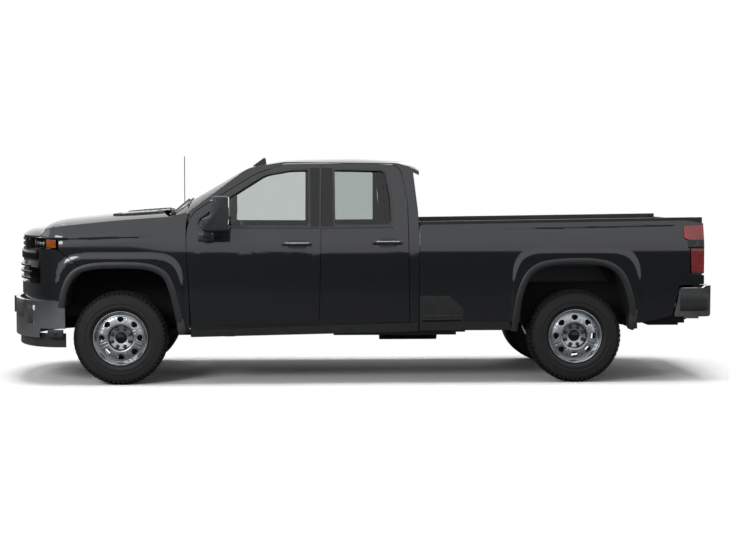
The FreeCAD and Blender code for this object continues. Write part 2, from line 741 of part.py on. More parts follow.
# Steering knuckles: kingpin, spindle plate, steering arm and brake caliper
for side, side_name in ((-1, "left"), (1, "right")):
    letter = side_name.capitalize()
    kingpin = rod("Kingpin" + letter, "z", D.kingpin_radius, 250, FRONT_AXLE, side * (D.kingpin_y - 25),
                  AXLE_Z - 125)
    plate_low = D.kingpin_y - 56
    plate_high = D.hub_seat_y - D.seat_gap
    plate = box("KnucklePlate" + letter, (FRONT_AXLE - 60, FRONT_AXLE + 60),
                (plate_low, plate_high) if side > 0 else (-plate_high, -plate_low),
                (AXLE_Z - 110, AXLE_Z + 110))
    node("knuckle_" + side_name, fuse("Knuckle" + letter, kingpin, plate))

# Cab floor with its tunnel
floor_half = 880
floor = box("FloorPan", (D.cab_front_x, D.cab_rear_x - 60), (-floor_half, floor_half),
            (FLOOR - D.floor_thick, FLOOR))
tunnel = box("Tunnel", (D.cab_front_x, -500), (-190, 190), (FLOOR - D.floor_thick, FLOOR + 90))
tunnel_space = box("TunnelSpace", (D.cab_front_x - 1, -530), (-165, 165),
                   (FLOOR - D.floor_thick - 1, FLOOR + 65))
node("cab_floor", cut("CabFloor", fuse("FloorAndTunnel", floor, tunnel), tunnel_space))

# Door and window outlines, as (x, z, corner radius) on the left side
hinge_x = float(D.door_hinge_x)
gap = float(D.shut_gap)
split_low, split_high = -393, -362
front_door = [
    (-1542, 535, 30), (-1560, 900, 900), (hinge_x, 1260, 400), (hinge_x + 4, 1440, 300), (-1505, 1562, 90),
    (-965, 1897, 330), (-700, 1990, 200), (split_high, 1996, 0), (split_low, 549, 0)]
rear_door = [
    (split_low + gap, 549, 0), (split_high + gap, 1996, 0), (352, 1984, 110), (414, 1640, 300),
    (417, 1287, 500), (428, 560, 30)]
front_window = [
    (-1492, 1434, 22), (-1474, 1500, 60), (-1186, 1706, 500), (-880, 1898, 300), (-640, 1940, 60),
    (-478, 1944, 18), (-478, 1430, 12)]
rear_window_outline = [
    (-250, 1436, 12), (-250, 1946, 18), (218, 1938, 60), (262, 1700, 200), (272, 1440, 50)]

# Cab side frames: sill, pillars and roof rail, with a flush outer layer round the doors
top_line = 2010
side_outline = [
    (-1548, 499, 12), (-1548, 620, 0), (-1520, 640, 0), (-1520, 1440, 0), (-1558, 1562, 0),
    (-1030, 1958, 300),
    (-700, top_line, 300), (330, 2002, 120), (470, 1960, 60), (float(D.cab_rear_x) - 4, 1560, 200),
    (float(D.cab_rear_x), 1250, 0), (float(D.cab_rear_x) - 4, 561, 12)]
outer_layer = side_panel("SideOuter", (-1690, float(D.cab_rear_x) + 40), (440, 2030), 97, (160, 20))
inner_layer = side_panel("SideInner", (-1690, float(D.cab_rear_x) + 40), (440, 2030),
                         92.7 + float(D.ring_thick),
                         (160, 20), 92.7)
outer_cut = common("SideOuterTrimmed", outer_layer, side_cutter("SideOutline", side_outline))
door_holes = [side_cutter("FrontDoorHole", inset(front_door, -gap)),
              side_cutter("RearDoorHole", inset(rear_door, -gap))]
outer_ring = cut("SideOuterRing", outer_cut, *door_holes)
inner_outline = side_outline[:4] + [(-1618, 1500, 0)] + side_outline[5:]
inner_cut = common("SideInnerTrimmed", inner_layer, side_cutter("SideInnerOutline", inner_outline))
front_hole = inset(front_door, 45)
rear_hole = inset(rear_door, 45)
inner_ring = cut("SideInnerRing", inner_cut, side_cutter("FrontHole", front_hole),
                 side_cutter("RearHole", rear_hole))
side_layers = fuse("CabSideLayers", outer_ring, inner_ring)


# Doors: an outer skin to the shut lines and a thick inner part set in from them
def door(tag, points, window, x_range):
    skin = float(D.skin)
    low = side_panel(tag + "Skin", x_range, (500, 2020), skin, (200, 20))
    trimmed = common(tag + "SkinTrimmed", low, side_cutter(tag + "Outline", points))
    deep = side_panel(tag + "Deep", x_range, (500, BELT_Z - 12), float(D.door_thick), (200, 20), skin - 1)
    frame = side_panel(tag + "Frame", x_range, (BELT_Z - 60, 2020), float(D.frame_thick), (200, 20),
                       skin - 1)
    inner = inset(points, float(D.door_inset))
    deep_trimmed = common(tag + "DeepTrimmed", deep, side_cutter(tag + "DeepOutline", inner))
    frame_trimmed = common(tag + "FrameTrimmed", frame, side_cutter(tag + "FrameOutline", inner))
    solid = fuse(tag + "Solid", trimmed, deep_trimmed, frame_trimmed)
    opening = side_cutter(tag + "Opening", window)
    shell = cut(tag + "Door", solid, opening)
    pane = side_panel(tag + "Pane", x_range, (BELT_Z - 40, 1990), 20 + float(D.glass_thick), (200, 20), 20)
    glass = common(tag + "Glass", pane, side_cutter(tag + "GlassOutline", inset(window, float(D.seat_gap))))
    return shell, glass


front_shell, front_glass = door("Front", front_door, front_window, (-1600, -340))
rear_shell, rear_glass = door("Rear", rear_door, rear_window_outline, (-410, 450))
left_and_right("door_front", front_shell)
left_and_right("glass_front", front_glass)
left_and_right("door_rear", rear_shell)
left_and_right("glass_rear", rear_glass)

# Mirrors on the front doors: base, two arms and a tall housing
mirror_base_y = 1022
mirror_block = box("MirrorBase", (-1478, -1330), (-mirror_base_y - 90, -mirror_base_y + 24), (1292, 1372))
mirror_base = cut("MirrorFoot", mirror_block, front_shell)
mirror_shelf_z = 1500
mirror_foot = plan_cutter("MirrorLower", [(-1436, -1150, 30), (-1200, -1150, 20), (-1190, -1296, 20),
                                          (-1400, -1300, 60)],
                          1392, mirror_shelf_z)
mirror_head = plan_cutter("MirrorUpper", [(-1360, -1150, 30), (-1200, -1150, 20), (-1190, -1296, 20),
                                          (-1335, -1300, 50)],
                          mirror_shelf_z, 1704)
mirror_housing = fuse("MirrorHousing", mirror_foot, mirror_head)
mirror_arm = box("MirrorArm", (-1440, -1350), (-1190, -1080), (1330, 1400))
left_and_right("mirror", fuse("Mirror", mirror_base, mirror_arm, mirror_housing))

# Fenders
hood_line = [(-2893, 1345), (-2852, 1385), (-2785, 1415), (-2673, 1436), (-2447, 1459), (-2233, 1480),
             (-2107, 1490),
             (-1732, 1516)]
fender_outline = [(x, z, 0) for x, z in hood_line] + [
    (-1640, 1540, 60), (-1570, 1556, 20), (hinge_x - 2 - gap, 1440, 300), (hinge_x - gap, 1260, 400),
    (-1566, 900, 900),
    (-1548 - gap, 482, 10), (-1700, 470, 0), (-2514, 740, 0), (-2514, 1064, 0), (-2716, 1224, 6),
    (-2712, 1306, 6), (-2893, 1334, 0)]
fender_slab = side_panel("FenderSlab", (-2910, -1530), (430, 1600), 20, (30, 12))
fender_cut = common("FenderTrimmed", fender_slab, side_cutter("FenderOutline", fender_outline))
front_arch = arch_cutter("FrontArch", FRONT_X, 485, 625, 4, 500, 1200)


# Wheel arch flares
def flare(tag, centre_x, half_length, height, arch_length, arch_height):
    band = side_panel(tag + "Band", (centre_x - 600, centre_x + 600), (440, 1180), 8, (30, 24), -12)
    outer_arch = arch_cutter(tag + "Outer", centre_x, half_length, height, 4, 500, 1300, 200)
    inner_arch = arch_cutter(tag + "Inner", centre_x, arch_length, arch_height, 4, 400, 1400)
    return cut(tag + "Shaped", common(tag + "Trimmed", band, outer_arch), inner_arch)


# Bed sides: full double wall above the floor, outer skin below it, and the wheelhouse
bed_front = float(D.bed_front_x)
bed_rear = float(D.bed_rear_x)
bed_outline = [
    (bed_front + 2, 562, 0), (bed_front, 800, 0), (bed_front + 2, 1440, 40), (bed_rear - 170, 1478, 200),
    (bed_rear, 1452, 8),
    (bed_rear, 1440, 0), (bed_rear - 192, 1428, 8), (bed_rear - 188, 1312, 8), (bed_rear - 138, 1290, 8),
    (bed_rear - 130, 985, 8), (bed_rear, 980, 0),
    (bed_rear, 896, 10), (2896, 886, 0), (2832, 606, 60), (2540, 545, 0), (REAR_X + 200, 545, 0),
    (1370, 560, 0)]
bed_skin = side_panel("BedSkin", (bed_front - 20, bed_rear + 6), (530, 1500), 34, (32, 12))
bed_skin_cut = common("BedSkinTrimmed", bed_skin, side_cutter("BedOutline", bed_outline))
wall_low = float(D.bed_floor_z)
wall_slab = side_panel("BedWallSlab", (bed_front + 8, bed_rear - 60), (wall_low - 22, 1466), 160,
                       (120, 60), 14, True)
wall_outline = [(bed_front + 10, wall_low - 22, 0), (bed_front + 10, 1436, 0), (bed_rear - 200, 1462, 0),
                (bed_rear - 190, wall_low - 22, 0)]
wall_cut = common("BedWallTrimmed", wall_slab, side_cutter("BedWallOutline", wall_outline))
post_slab = side_panel("BedPostSlab", (2900, 3130), (wall_low - 22, 1476), 190, (60, 60), 54, True)
post = common("BedPost", post_slab, box("BedPostLimit", (bed_rear - 194, bed_rear - 6),
                                        (-1100, -D.bed_inner_half - 51),
                                         (wall_low - 20, 1462)))
inner_wall = prism("BedInnerWall", "XZ_Plane", [(bed_front + 10, wall_low - 22), (bed_front + 10, 1436),
                                                (bed_rear - 70, 1462), (bed_rear - 70, wall_low - 22)],
                   D.bed_inner_half, D.bed_inner_half + 60)
house_half = 470
wheelhouse = box("Wheelhouse", (REAR_AXLE - house_half, REAR_AXLE + house_half),
                 (-D.bed_inner_half - 30, -D.wheelhouse_half), (wall_low - 22, D.wheelhouse_top_z))
house_space = box("WheelhouseSpace", (REAR_AXLE - house_half + 20, REAR_AXLE + house_half - 20),
                  (-1003, -D.wheelhouse_half - 20), (wall_low - 60, D.wheelhouse_top_z - 20))
rear_arch = arch_cutter("RearArch", REAR_X, 515, 650, 4, 700, 1200)
bed_hollow = box("BedHollow", (0, 4000), (-D.bed_inner_half, 0), (wall_low + 1, 1600))
wall_flat = cut("BedWallFlat", wall_cut, bed_hollow)
outer_wall = fuse("BedOuterWall", cut("BedSkinArched", bed_skin_cut, rear_arch),
                  cut("BedWallArched", wall_flat, house_space, rear_arch))
gate_hole = rod("GatePinHole", "y", D.gate_pin_radius + D.seat_gap, 40, D.tailgate_hinge_x,
                -D.bed_inner_half - 90, D.tailgate_hinge_z)
bed_side = cut("BedSide", fuse("BedSideSolid", outer_wall, inner_wall, wheelhouse, post), house_space,
               gate_hole)
left_and_right("bed_side", bed_side)
cap_line = [(bed_front + 4, 1428), (bed_front + 4, D.rail_top_front_z), (bed_rear - 8, D.rail_top_rear_z),
            (bed_rear - 8, 1450), (2928, 1450), (2926, 1440)]
cap_blank = cut("BedRailBlank", prism("BedRailPlate", "XZ_Plane", cap_line, D.bed_inner_half, 962),
                bed_side)
gate_room = box("TailgateRoom", (bed_rear - D.tailgate_thick - 8, bed_rear + 50),
                (-D.bed_inner_half - 53, 0), (800, 1700))
bed_rail = cut("BedRail", cap_blank, gate_room)
node("bed_rails", group("BedRails", bed_rail, mirrored("BedRailRight", bed_rail)))


# Bed floor, bulkhead and tailgate
bed_floor = box("BedFloorPlate", (bed_front + 40, bed_rear - 70),
                (-D.bed_inner_half + D.seat_gap, D.bed_inner_half - D.seat_gap),
                (D.bed_floor_z - D.bed_floor_thick, D.bed_floor_z))
floor_parts = [bed_floor]
for index in range(14):
    y = -780 + index * 120
    floor_parts.append(box("FloorRib%d" % index, (bed_front + 60, bed_rear - 80), (y - 28, y + 28),
                           (D.bed_floor_z - 1, D.bed_floor_z + 9)))
for index, x in enumerate((REAR_AXLE - 560, REAR_AXLE + 100, REAR_AXLE + 760)):
    floor_parts.append(box("BedSill%d" % index, (x - 45, x + 45), (-620, 620),
                           (bed_sill_low, D.bed_floor_z - D.bed_floor_thick + 1)))
house_notch = [box("HouseNotch" + "LR"[side > 0], (REAR_AXLE - house_half - D.seat_gap,
                                                   REAR_AXLE + house_half + D.seat_gap),
                   (min(side * 900, side * (650 - 0.3)), max(side * 900, side * (650 - 0.3))),
                   (D.bed_floor_z - 60, D.bed_floor_z + 30)) for side in (-1, 1)]
node("bed_floor", cut("BedFloor", fuse("BedFloorRibbed", *floor_parts), *house_notch))
bulkhead = box("Bulkhead", (bed_front + 10.3, bed_front + 39.7),
               (-D.bed_inner_half + D.seat_gap, D.bed_inner_half - D.seat_gap),
               (D.bed_floor_z - 22, 1462))
node("bed_front", bulkhead)

gate_x = bed_rear
gate_half = D.bed_inner_half + 45
gate_low = D.tailgate_bottom_z
gate = prism("GatePlate", "XZ_Plane", [(gate_x - D.tailgate_thick, gate_low), (gate_x - 8, gate_low),
                                       (gate_x - 2, 980),
                                       (gate_x - 2, 1300), (gate_x - 10, 1380), (gate_x + 6, 1440),
                                       (gate_x + 6, 1478),
                                       (gate_x - D.tailgate_thick, 1478)], -gate_half, gate_half)
handle_pocket = box("HandlePocket", (gate_x - 22, gate_x + 30), (-110, 110), (1330, 1400))
gate_pins = rod("GatePins", "y", D.gate_pin_radius, 2 * (gate_half + 20), D.tailgate_hinge_x,
                -(gate_half + 20),
                D.tailgate_hinge_z)
node("tailgate", cut("Tailgate", fuse("TailgateSolid", gate, gate_pins), handle_pocket))

# Tail lamps in the rear corners of the bed
lamp_outline = [(2936, 1434, 14), (3123, 1444, 8), (3123, 992, 16), (3006, 996, 16), (3000, 1215, 20),
                (2990, 1300, 14), (2940, 1318, 14)]
lamp_band = side_panel("LampBand", (2900, 3140), (960, 1470), 50, (20, 24), 0)
lamp = common("TailLamp", lamp_band, side_cutter("TailLampOutline", lamp_outline))
node("tail_lamps", group("TailLamps", lamp, mirrored("TailLampRight", lamp)))

# Roof, drawn through its centre line with a crown across
ROOF_LINE = [(-1090, 1925), (-1016, 1957), (-802, 2016), (-360, 2044), (64, 2045), (347, 2030),
             (493, 2012), (536, 1994)]
roof_curve = Part.BSplineCurve()
roof_curve.interpolate([Vector(x, 0, z) for x, z in ROOF_LINE])


def roof_point(share, y):
    place_on = roof_curve.value(roof_curve.FirstParameter
                                + share * (roof_curve.LastParameter - roof_curve.FirstParameter))
    side_share = abs(y) / float(D.roof_half)
    front_pull = 90 * side_share ** 2 * (1 - share)
    ease = smooth_step(share / 0.3)
    drop = (42 * side_share ** 4 + 6 * side_share ** 2) * ease - 14 * side_share ** 2 * (1 - ease)
    drop += 20 * side_share ** 4 * smooth_step((share - 0.86) / 0.14)
    return Vector(place_on.x + front_pull * 0.6, y, place_on.z - drop)


roof_edge = float(D.roof_half) - 0.3
roof_sheet = skin_solid("Roof", roof_point, lambda share,
                        y: roof_point(share, y) - Vector(0, 0, float(D.roof_thick)),
                        steps(0, 1, 1 / 24), steps(-roof_edge, roof_edge, 70))
node("roof", roof_sheet)
roof_under = box("RoofUnder", (-1100, -700), (-60, 60), (1900, 1978))


# Windshield, from the cowl to the roof's front edge
def windshield_point(across, up):
    centre_x = -1806 + 716 * up + 16 * math.sin(math.pi * up)
    centre_z = 1520 + 416 * up + 10 * math.sin(math.pi * up)
    edge_x = -1608 + 586 * up
    edge_z = 1516 + 430 * up
    share = abs(across) ** 2.6
    x = centre_x + (edge_x - centre_x) * share
    z = centre_z + (edge_z - centre_z) * share
    return Vector(x, across * (side_half(x, edge_z) - 30), z)


def windshield_inner(across, up):
    ahead = windshield_point(across, up)
    return ahead + Vector(4, 0, -6) * (float(D.glass_thick) / 5)


windshield = skin_solid("WindshieldSheet", windshield_point, windshield_inner, steps(-1, 1, 1 / 16),
                        steps(0.02, 0.97, 1 / 14))
node("windshield", windshield)
roof_room = box("RoofRoom", (-1300, 600), (-D.roof_half, 0), (D.roof_z - 170, D.roof_z + 100))
left_and_right("cab_side", cut("CabSide", side_layers, roof_room, windshield))

# Cowl: the firewall and the black panel under the windshield's foot
firewall = box("Firewall", (D.cab_front_x - 40, D.cab_front_x - 0.3), (-845, 845),
               (FLOOR - D.floor_thick, 1430))
cowl_shelf = prism("CowlShelf", "XZ_Plane", [(-1800, 1428), (D.cab_front_x - 30, 1428),
        (D.cab_front_x - 30, 1470), (-1640, 1496), (-1800, 1500)], -812, 812)
cowl_solid = fuse("CowlSolid", firewall, cowl_shelf)

# Back wall of the cab with its window
back_line = [(D.cab_rear_x - 60, FLOOR - D.floor_thick), (D.cab_rear_x - 4, FLOOR - D.floor_thick),
             (D.cab_rear_x, 1300), (D.cab_rear_x - 10, 1500),
             (474, 1930), (440, 1930), (D.cab_rear_x - 60, 1300)]
back_sides = [(-845, 650, 0), (845, 650, 0), (845, BELT_Z, 0), (664, 1945, 0), (-664, 1945, 0),
              (-845, BELT_Z, 0)]
back_wall = common("BackWallShape", prism("BackWallPlate", "XZ_Plane", back_line, -845, 845),
                   front_cutter("BackWallSides", back_sides, 300, 700))
back_opening = [(-560, 1470, 60), (560, 1470, 60), (520, 1850, 60), (-520, 1850, 60)]
back_hole = front_cutter("BackOpening", back_opening, 300, 700)
node("cab_back", cut("CabBack", back_wall, back_hole))
pane = prism("RearPane", "XZ_Plane", [(D.cab_rear_x - 22, 1440), (D.cab_rear_x - 16, 1440), (472, 1880),
                                      (466, 1880)], -600, 600)
node("rear_window", common("RearWindow", pane, front_cutter("RearWindowOutline", inset(back_opening, 0.3),
                                                            300, 700)))


# Hood: crowned between the fenders with a raised middle, falling to the grille
def interpolate(points, x):
    for (x0, z0), (x1, z1) in zip(points, points[1:]):
        if x <= x1:
            break
    return z0 + (z1 - z0) * (x - x0) / (x1 - x0)


HOOD_REAR_X = -1737
hood_front_side_x = -2890


def hood_half(x):
    return side_half(x, interpolate(hood_line, x))


def nose_tip_x(y, length=NOSE_LENGTH):
    share = min(abs(y) / float(D.body_half), 1)
    return NOSE_START_X - length * max(1 - share ** NOSE_POWER, 0) ** (1 / NOSE_POWER)


HOOD_THICK = 14
HOOD_EDGE = 26


def hood_point(across, share):
    """A place on the hood's skin."""
    side_x = hood_front_side_x + share * (HOOD_REAR_X - hood_front_side_x)
    half = hood_half(side_x) - HOOD_EDGE
    front_half = hood_half(hood_front_side_x)
    start = nose_tip_x(across * front_half) + 6
    start += (hood_front_side_x - nose_tip_x(front_half) - 6) * abs(across) ** 8
    finish = HOOD_REAR_X - 112 * (1 - abs(across) ** 4)
    x = start + share * (finish - start)
    edge_z = interpolate(hood_line, max(min(x, HOOD_REAR_X), hood_line[0][0]))
    behind = x - start
    hump = (60 + 14 * math.exp(-behind / 200)) * (1 - math.exp(-behind / 62)) * (1 - abs(across) ** 5)
    return Vector(x, across * half, edge_z + hump)


node("hood", skin_solid("Hood", hood_point,
                        lambda across, share: hood_point(across, share) - Vector(0, 0, HOOD_THICK),
                        steps(-1, 1, 1 / 22), [(i / 26) ** 1.5 for i in range(27)]))
hood_room = skin_solid("HoodRoom", hood_point, lambda across, share: hood_point(across, share)
                       - Vector(0, 0, HOOD_THICK + float(D.seat_gap)), steps(-1, 1, 1 / 22),
                       [(i / 26) ** 1.5 for i in range(27)])
hood_rests = [box("HoodRest" + "LR"[side > 0], (-1860, -1790), (side * 660 - 25, side * 660 + 25),
                  (1429, 1546))
              for side in (-1, 1)]
node("cowl", cut("Cowl", fuse("CowlAndRests", cowl_solid, *hood_rests), hood_room))
fender_left = cut("Fender", fender_cut, front_arch)
fender_right = left_and_right("fender", fender_left)
front_flare = flare("FrontFlare", FRONT_X, 540, 688, 485, 625)
rear_flare = flare("RearFlare", REAR_X, 575, 712, 515, 650)


# Nose pieces share one plan curve, so bumper, cap, grille and lamps line up
def wrap_plan(half, length, power):
    """Evenly spaced (ahead, across) places round the plan of a wrapped end."""
    fine = []
    for index in range(-400, 401):
        angle = index / 400 * math.pi / 2
        reach = (abs(math.cos(angle)) ** power + abs(math.sin(angle)) ** power) ** (-1 / power)
        fine.append((math.cos(angle) * reach * length, math.sin(angle) * reach * half))
    travelled = [0]
    for before, after in zip(fine, fine[1:]):
        travelled.append(travelled[-1] + math.hypot(after[0] - before[0], after[1] - before[1]))
    count = 44
    places = []
    for index in range(count + 1):
        target = travelled[-1] * index / count
        nearest = min(range(len(fine)), key=lambda item: abs(travelled[item] - target))
        places.append(fine[nearest])
    return places


def wrap_band(name, half, length, z_low, z_high, depth, start_x=NOSE_START_X, power=NOSE_POWER,
              direction=-1):
    """A band that wraps round one end of the truck from side to side."""
    outside = wrap_plan(half, length, power)
    inside = wrap_plan(half - depth, length - depth, power)

    def place_on(plan):
        return lambda index, z: Vector(start_x + direction * plan[index][0], plan[index][1], z)

    return skin_solid(name, place_on(outside), place_on(inside), range(len(outside)),
                      steps(z_low, z_high, max((z_high - z_low) / 5, 20)))


bumper_band = wrap_band("BumperBand", 1040, 572, 432, 764, 40)
bumper_step = box("BumperStep", (-2900, -2600), (-1200, 1200), (400, 516))
air_slot = box("AirSlot", (-3400, -3000), (-350, 350), (490, 590))
node("front_bumper", cut("FrontBumper", bumper_band, bumper_step, air_slot))
valance = wrap_band("ValanceBand", 999.7, 531.7, 345, 470, 30)
plate_seat = wrap_band("PlateSeat", 1040.3, 572.3, 432, 764, 60)
plate_holder = cut("PlateHolder", box("PlateBlock", (FRONT_TIP_X, FRONT_TIP_X + 50), (-155, 155),
                                      (600, 752)), plate_seat)
node("front_valance", group("FrontValance", valance, plate_holder))
cap_band = wrap_band("CapBand", 1038, 504, 806, 916, 45)
lower_cap_band = wrap_band("LowerCapBand", 1020, 480, 764.3, 806.5, 40)
node("bumper_cap", fuse("BumperCap", cap_band, lower_cap_band))
grille_band = wrap_band("GrilleBand", 1020, 494, 917, 1330, 60)
grille_outline = [(-800.7, 960, 40), (800.7, 960, 40), (800.7, 1215, 20), (640, 1225, 10), (640, 1320, 10),
                  (-640, 1320, 10), (-640, 1225, 10), (-800.7, 1215, 20)]
grille_block = common("GrilleBlock", grille_band, front_cutter("GrilleOutline", grille_outline, -3400,
                                                               -2700))
slots = [box("GrilleSlot%d" % i, (-3400, -2700), (-600, 600),
             (985 + 48 * i, 1011 + 48 * i)) for i in range(7)]
node("grille", cut("Grille", grille_block, *slots))
headlamp_outline = [(-3200, 1228.3, 0), (-2800, 1228.3, 0), (-2738, 1256, 14), (-2730, 1296, 10),
                    (-2880, 1324, 30), (-3200, 1325, 0)]
headlamp_band = wrap_band("HeadlampBand", 1024, 488, 1226, 1326, 80)
headlamp = common("HeadlampShape", headlamp_band, side_cutter("HeadlampOutline", headlamp_outline, 648,
                                                              1100))
node("headlamps", group("Headlamps", headlamp, mirrored("HeadlampRight", headlamp)))
corner_join = -2860
corner_band = wrap_band("CornerBand", 1036, 490, 917, 1228, 40)
corner_nose = common("CornerNose", corner_band, side_cutter("CornerNoseOutline",
        [(-3300, 917, 0), (corner_join, 917, 0), (corner_join, 1228, 0), (-3300, 1228, 0)], 801, 1100))
corner_slab = side_panel("CornerSlab", (corner_join - 0.5, -2500), (760, 1240), 34, (20, 24))
corner_rear = common("CornerRear", corner_slab, side_cutter("CornerRearOutline",
        [(corner_join - 0.5, 917, 0), (-2655, 917, 0), (-2655, 770, 0), (-2520, 770, 0), (-2520, 1062, 0),
         (-2725, 1222, 10), (corner_join - 0.5, 1228, 0)]))
corner_arch = arch_cutter("CornerArch", FRONT_X, 485, 625, 4, 500, 1200)
corner = fuse("CornerPanel", corner_nose, cut("CornerSide", corner_rear, corner_arch))
node("front_corners", group("FrontCorners", corner, mirrored("CornerRight", corner)))

# The flares sit on the panels that they cover, and the front ones end above the bumper
flare_limit = box("FlareLimit", (FRONT_X - 900, FRONT_X - 300), (-1200, -900), (300, 775))
front_flare_set = cut("FrontFlareSeated", front_flare, fender_left, corner, flare_limit)
rear_flare_set = cut("RearFlareSeated", rear_flare, bed_side)
flares = group("Flares", front_flare_set, mirrored("FrontFlareRight", front_flare_set), rear_flare_set,
               mirrored("RearFlareRight", rear_flare_set))
node("wheel_flares", flares)

# Rear bumper with its step pad and the place for a ball
bumper_top = 893
rear_wrap = wrap_band("RearWrap", 1022, 404, 596, 880, 32, 2856, 6, direction=1)
rear_shape = side_cutter("RearBumperOutline", [(2910, 862, 12), (2850, 602, 12), (3190, 598, 20),
        (3300, 640, 0), (3300, 880, 0), (3150, 880, 0), (3118, 862, 0)], -1300, 1300)
rear_band = common("RearBand", rear_wrap, rear_shape)
rear_shelf = box("RearShelf", (bed_rear + 12, 3232), (-820, 820), (bumper_top - 26, bumper_top - 14))
ball_hole = rod("BallHole", "z", D.ball_hole_radius, 400, 3190, 0, 600)
horn_plates = [box("HornPlate" + "LR"[side > 0], (D.rail_rear_x + 60.3, 3240),
                   (side * 396 - 30, side * 396 + 30), (530, 700)) for side in (-1, 1)]
node("rear_bumper", cut("RearBumper", fuse("RearBumperSolid", rear_band, rear_shelf, *horn_plates),
                        ball_hole))

# Seats, dashboard, steering wheel
seat_parts = []
for side in (-1, 1):
    letter = "LR"[side > 0]
    y = side * 395
    seat_parts.append(box("SeatBase" + letter, (-960, -470), (y - 180, y + 180), (FLOOR, FLOOR + 190)))
    cushion = prism("SeatCushion" + letter, "XZ_Plane",
            [(-1010, FLOOR + 180), (-480, FLOOR + 180), (-440, FLOOR + 300), (-1020, FLOOR + 340)],
            -y - 265, -y + 265)
    back = prism("SeatBack" + letter, "XZ_Plane", [(-560, FLOOR + 290), (-430, FLOOR + 240),
            (-290, FLOOR + 860), (-410, FLOOR + 880)], -y - 255, -y + 255)
    head = prism("HeadRest" + letter, "XZ_Plane", [(-412, FLOOR + 850), (-320, FLOOR + 850),
            (-300, FLOOR + 1000), (-400, FLOOR + 1000)], -y - 130, -y + 130)
    seat_parts.append(fuse("FrontSeat" + letter, cushion, back, head))
node("seats_front", fuse("FrontSeats", *seat_parts))
rear_cushion = prism("RearCushion", "XZ_Plane", [(-160, FLOOR), (330, FLOOR), (330, FLOOR + 260),
                                                 (-180, FLOOR + 310)], -660, 660)
rear_back = prism("RearBack", "XZ_Plane", [(240, FLOOR + 240), (440, FLOOR + 240), (430, FLOOR + 800),
                                           (330, FLOOR + 800)], -650, 650)
rear_heads = [prism("RearHead%d" % i, "XZ_Plane", [(340, FLOOR + 790), (420, FLOOR + 790),
        (418, FLOOR + 960), (350, FLOOR + 960)], y - 120, y + 120) for i, y in enumerate((-430, 430))]
node("seat_rear", fuse("RearSeat", rear_cushion, rear_back, *rear_heads))
dash = prism("DashBody", "XZ_Plane", [(D.cab_front_x, 1010), (-1330, 960), (-1190, 1010), (-1210, 1330),
                                      (-1300, 1385), (D.cab_front_x, 1430)], -815, 815)
console = box("Console", (-1330, -400), (-110, 110), (FLOOR + 90, FLOOR + 330))
console_foot = box("ConsoleFoot", (-500, -400), (-110, 110), (FLOOR, FLOOR + 95))
node("dashboard", fuse("Dashboard", dash, console, console_foot))
tilt = 22
wheel_ring = doc.addObject("Part::Torus", "SteeringRing")
bind(wheel_ring, "Radius1", 178)
bind(wheel_ring, "Radius2", 15)
spokes = [box("Spoke0", (-170, 170), (-14, 14), (-9, 9)), box("Spoke1", (-12, 12), (-170, 10), (-9, 9))]
hub_ring = rod("SteeringHub", "z", 62, 50, 0, 0, -30)
column_length = 142
column = rod("SteeringColumn", "z", 24, column_length, 0, 0, -25 - column_length)
steering = fuse("SteeringWheel", wheel_ring, hub_ring, column, *spokes)
steering.Placement = Placement(Vector(-1040, -395, 1290),
                               Rotation(Vector(0, 1, 0), 90 - tilt) * Rotation(Vector(0, 0, 1), 90))
node("steering_wheel", steering)

# Sill mouldings and the black corner steps of the bed
sill_slab = side_panel("SillSlab", (-1600, 1380), (425, 575), 40, (60, 20), 0)
sill_shape = common("SillShape", sill_slab, side_cutter("SillOutline",
        [(-1546, 432, 10), (300, 470, 0), (510, 480, 0), (510, 559, 0), (-1546, 497, 0)]))
step_slab = side_panel("BedStepSlab", (500, 1380), (470, 820), 30, (40, 30), -8)
step_outline = [(520, 800, 10), (791, 800, 30), (916, 684, 20), (918, 564, 10), (1342, 558, 0),
                (1356, 484, 10), (520, 484, 10)]
bed_step = cut("BedStep", common("BedStepShape", step_slab, side_cutter("BedStepOutline", step_outline)),
               bed_side)
node("bed_steps", group("BedSteps", bed_step, mirrored("BedStepRight", bed_step)))
node("sill_mouldings", group("SillMouldings", sill_shape, mirrored("SillRight", sill_shape)))

# Wheel liners: an arched shell over each front wheel
liner_outer = arch_cutter("LinerOuter", FRONT_X, 530, 660, 4, 560, 1045, 300)
liner_inner = arch_cutter("LinerInner", FRONT_X, 508, 638, 4, 400, 1100, 200)
liner_bump = box("LinerLimit", (FRONT_X - 484, FRONT_X + 700), (-1045, -540), (520, 1200))
liner = cut("LinerFitted", common("LinerTrimmed", cut("Liner", liner_outer, liner_inner), liner_bump),
            fender_left, front_flare_set, corner)
node("wheel_liners", group("WheelLiners", liner, mirrored("LinerRight", liner)))

# Roof fin and mast antenna
fin_block = prism("FinBlock", "XZ_Plane", [(-1000, 1960), (-1000, 1985), (-900, 2058), (-880, 2059),
                                           (-870, 1990)], -16, 16)
fin = cut("Fin", fin_block, roof_sheet, roof_under)
mast_x, mast_y = -1717, 951
mast_foot = cut("MastFoot", rod("MastFootRod", "z", 9, 72, mast_x, mast_y, 1508), fender_right)
mast = rod("Mast", "z", 4, 512, mast_x, mast_y, 1579)
node("antennas", group("Antennas", fin, fuse("MastAntenna", mast_foot, mast)))

doc.recompute()
for item in doc.Objects:
    if "Invalid" in item.State or "Error" in item.State:
        raise RuntimeError("%s did not recompute: %s" % (item.Name, item.State))
for item in NODES:
    if item.Shape.isNull() or not item.Shape.isValid() or item.Shape.Volume <= 0:
        raise RuntimeError("%s has no valid solid" % item.Label)
os.makedirs("parts", exist_ok=True)
for item in NODES:
    item.Shape.exportStep("parts/%s.step" % item.Label)
    print("%-20s %d solids" % (item.Label, len(item.Shape.Solids)))
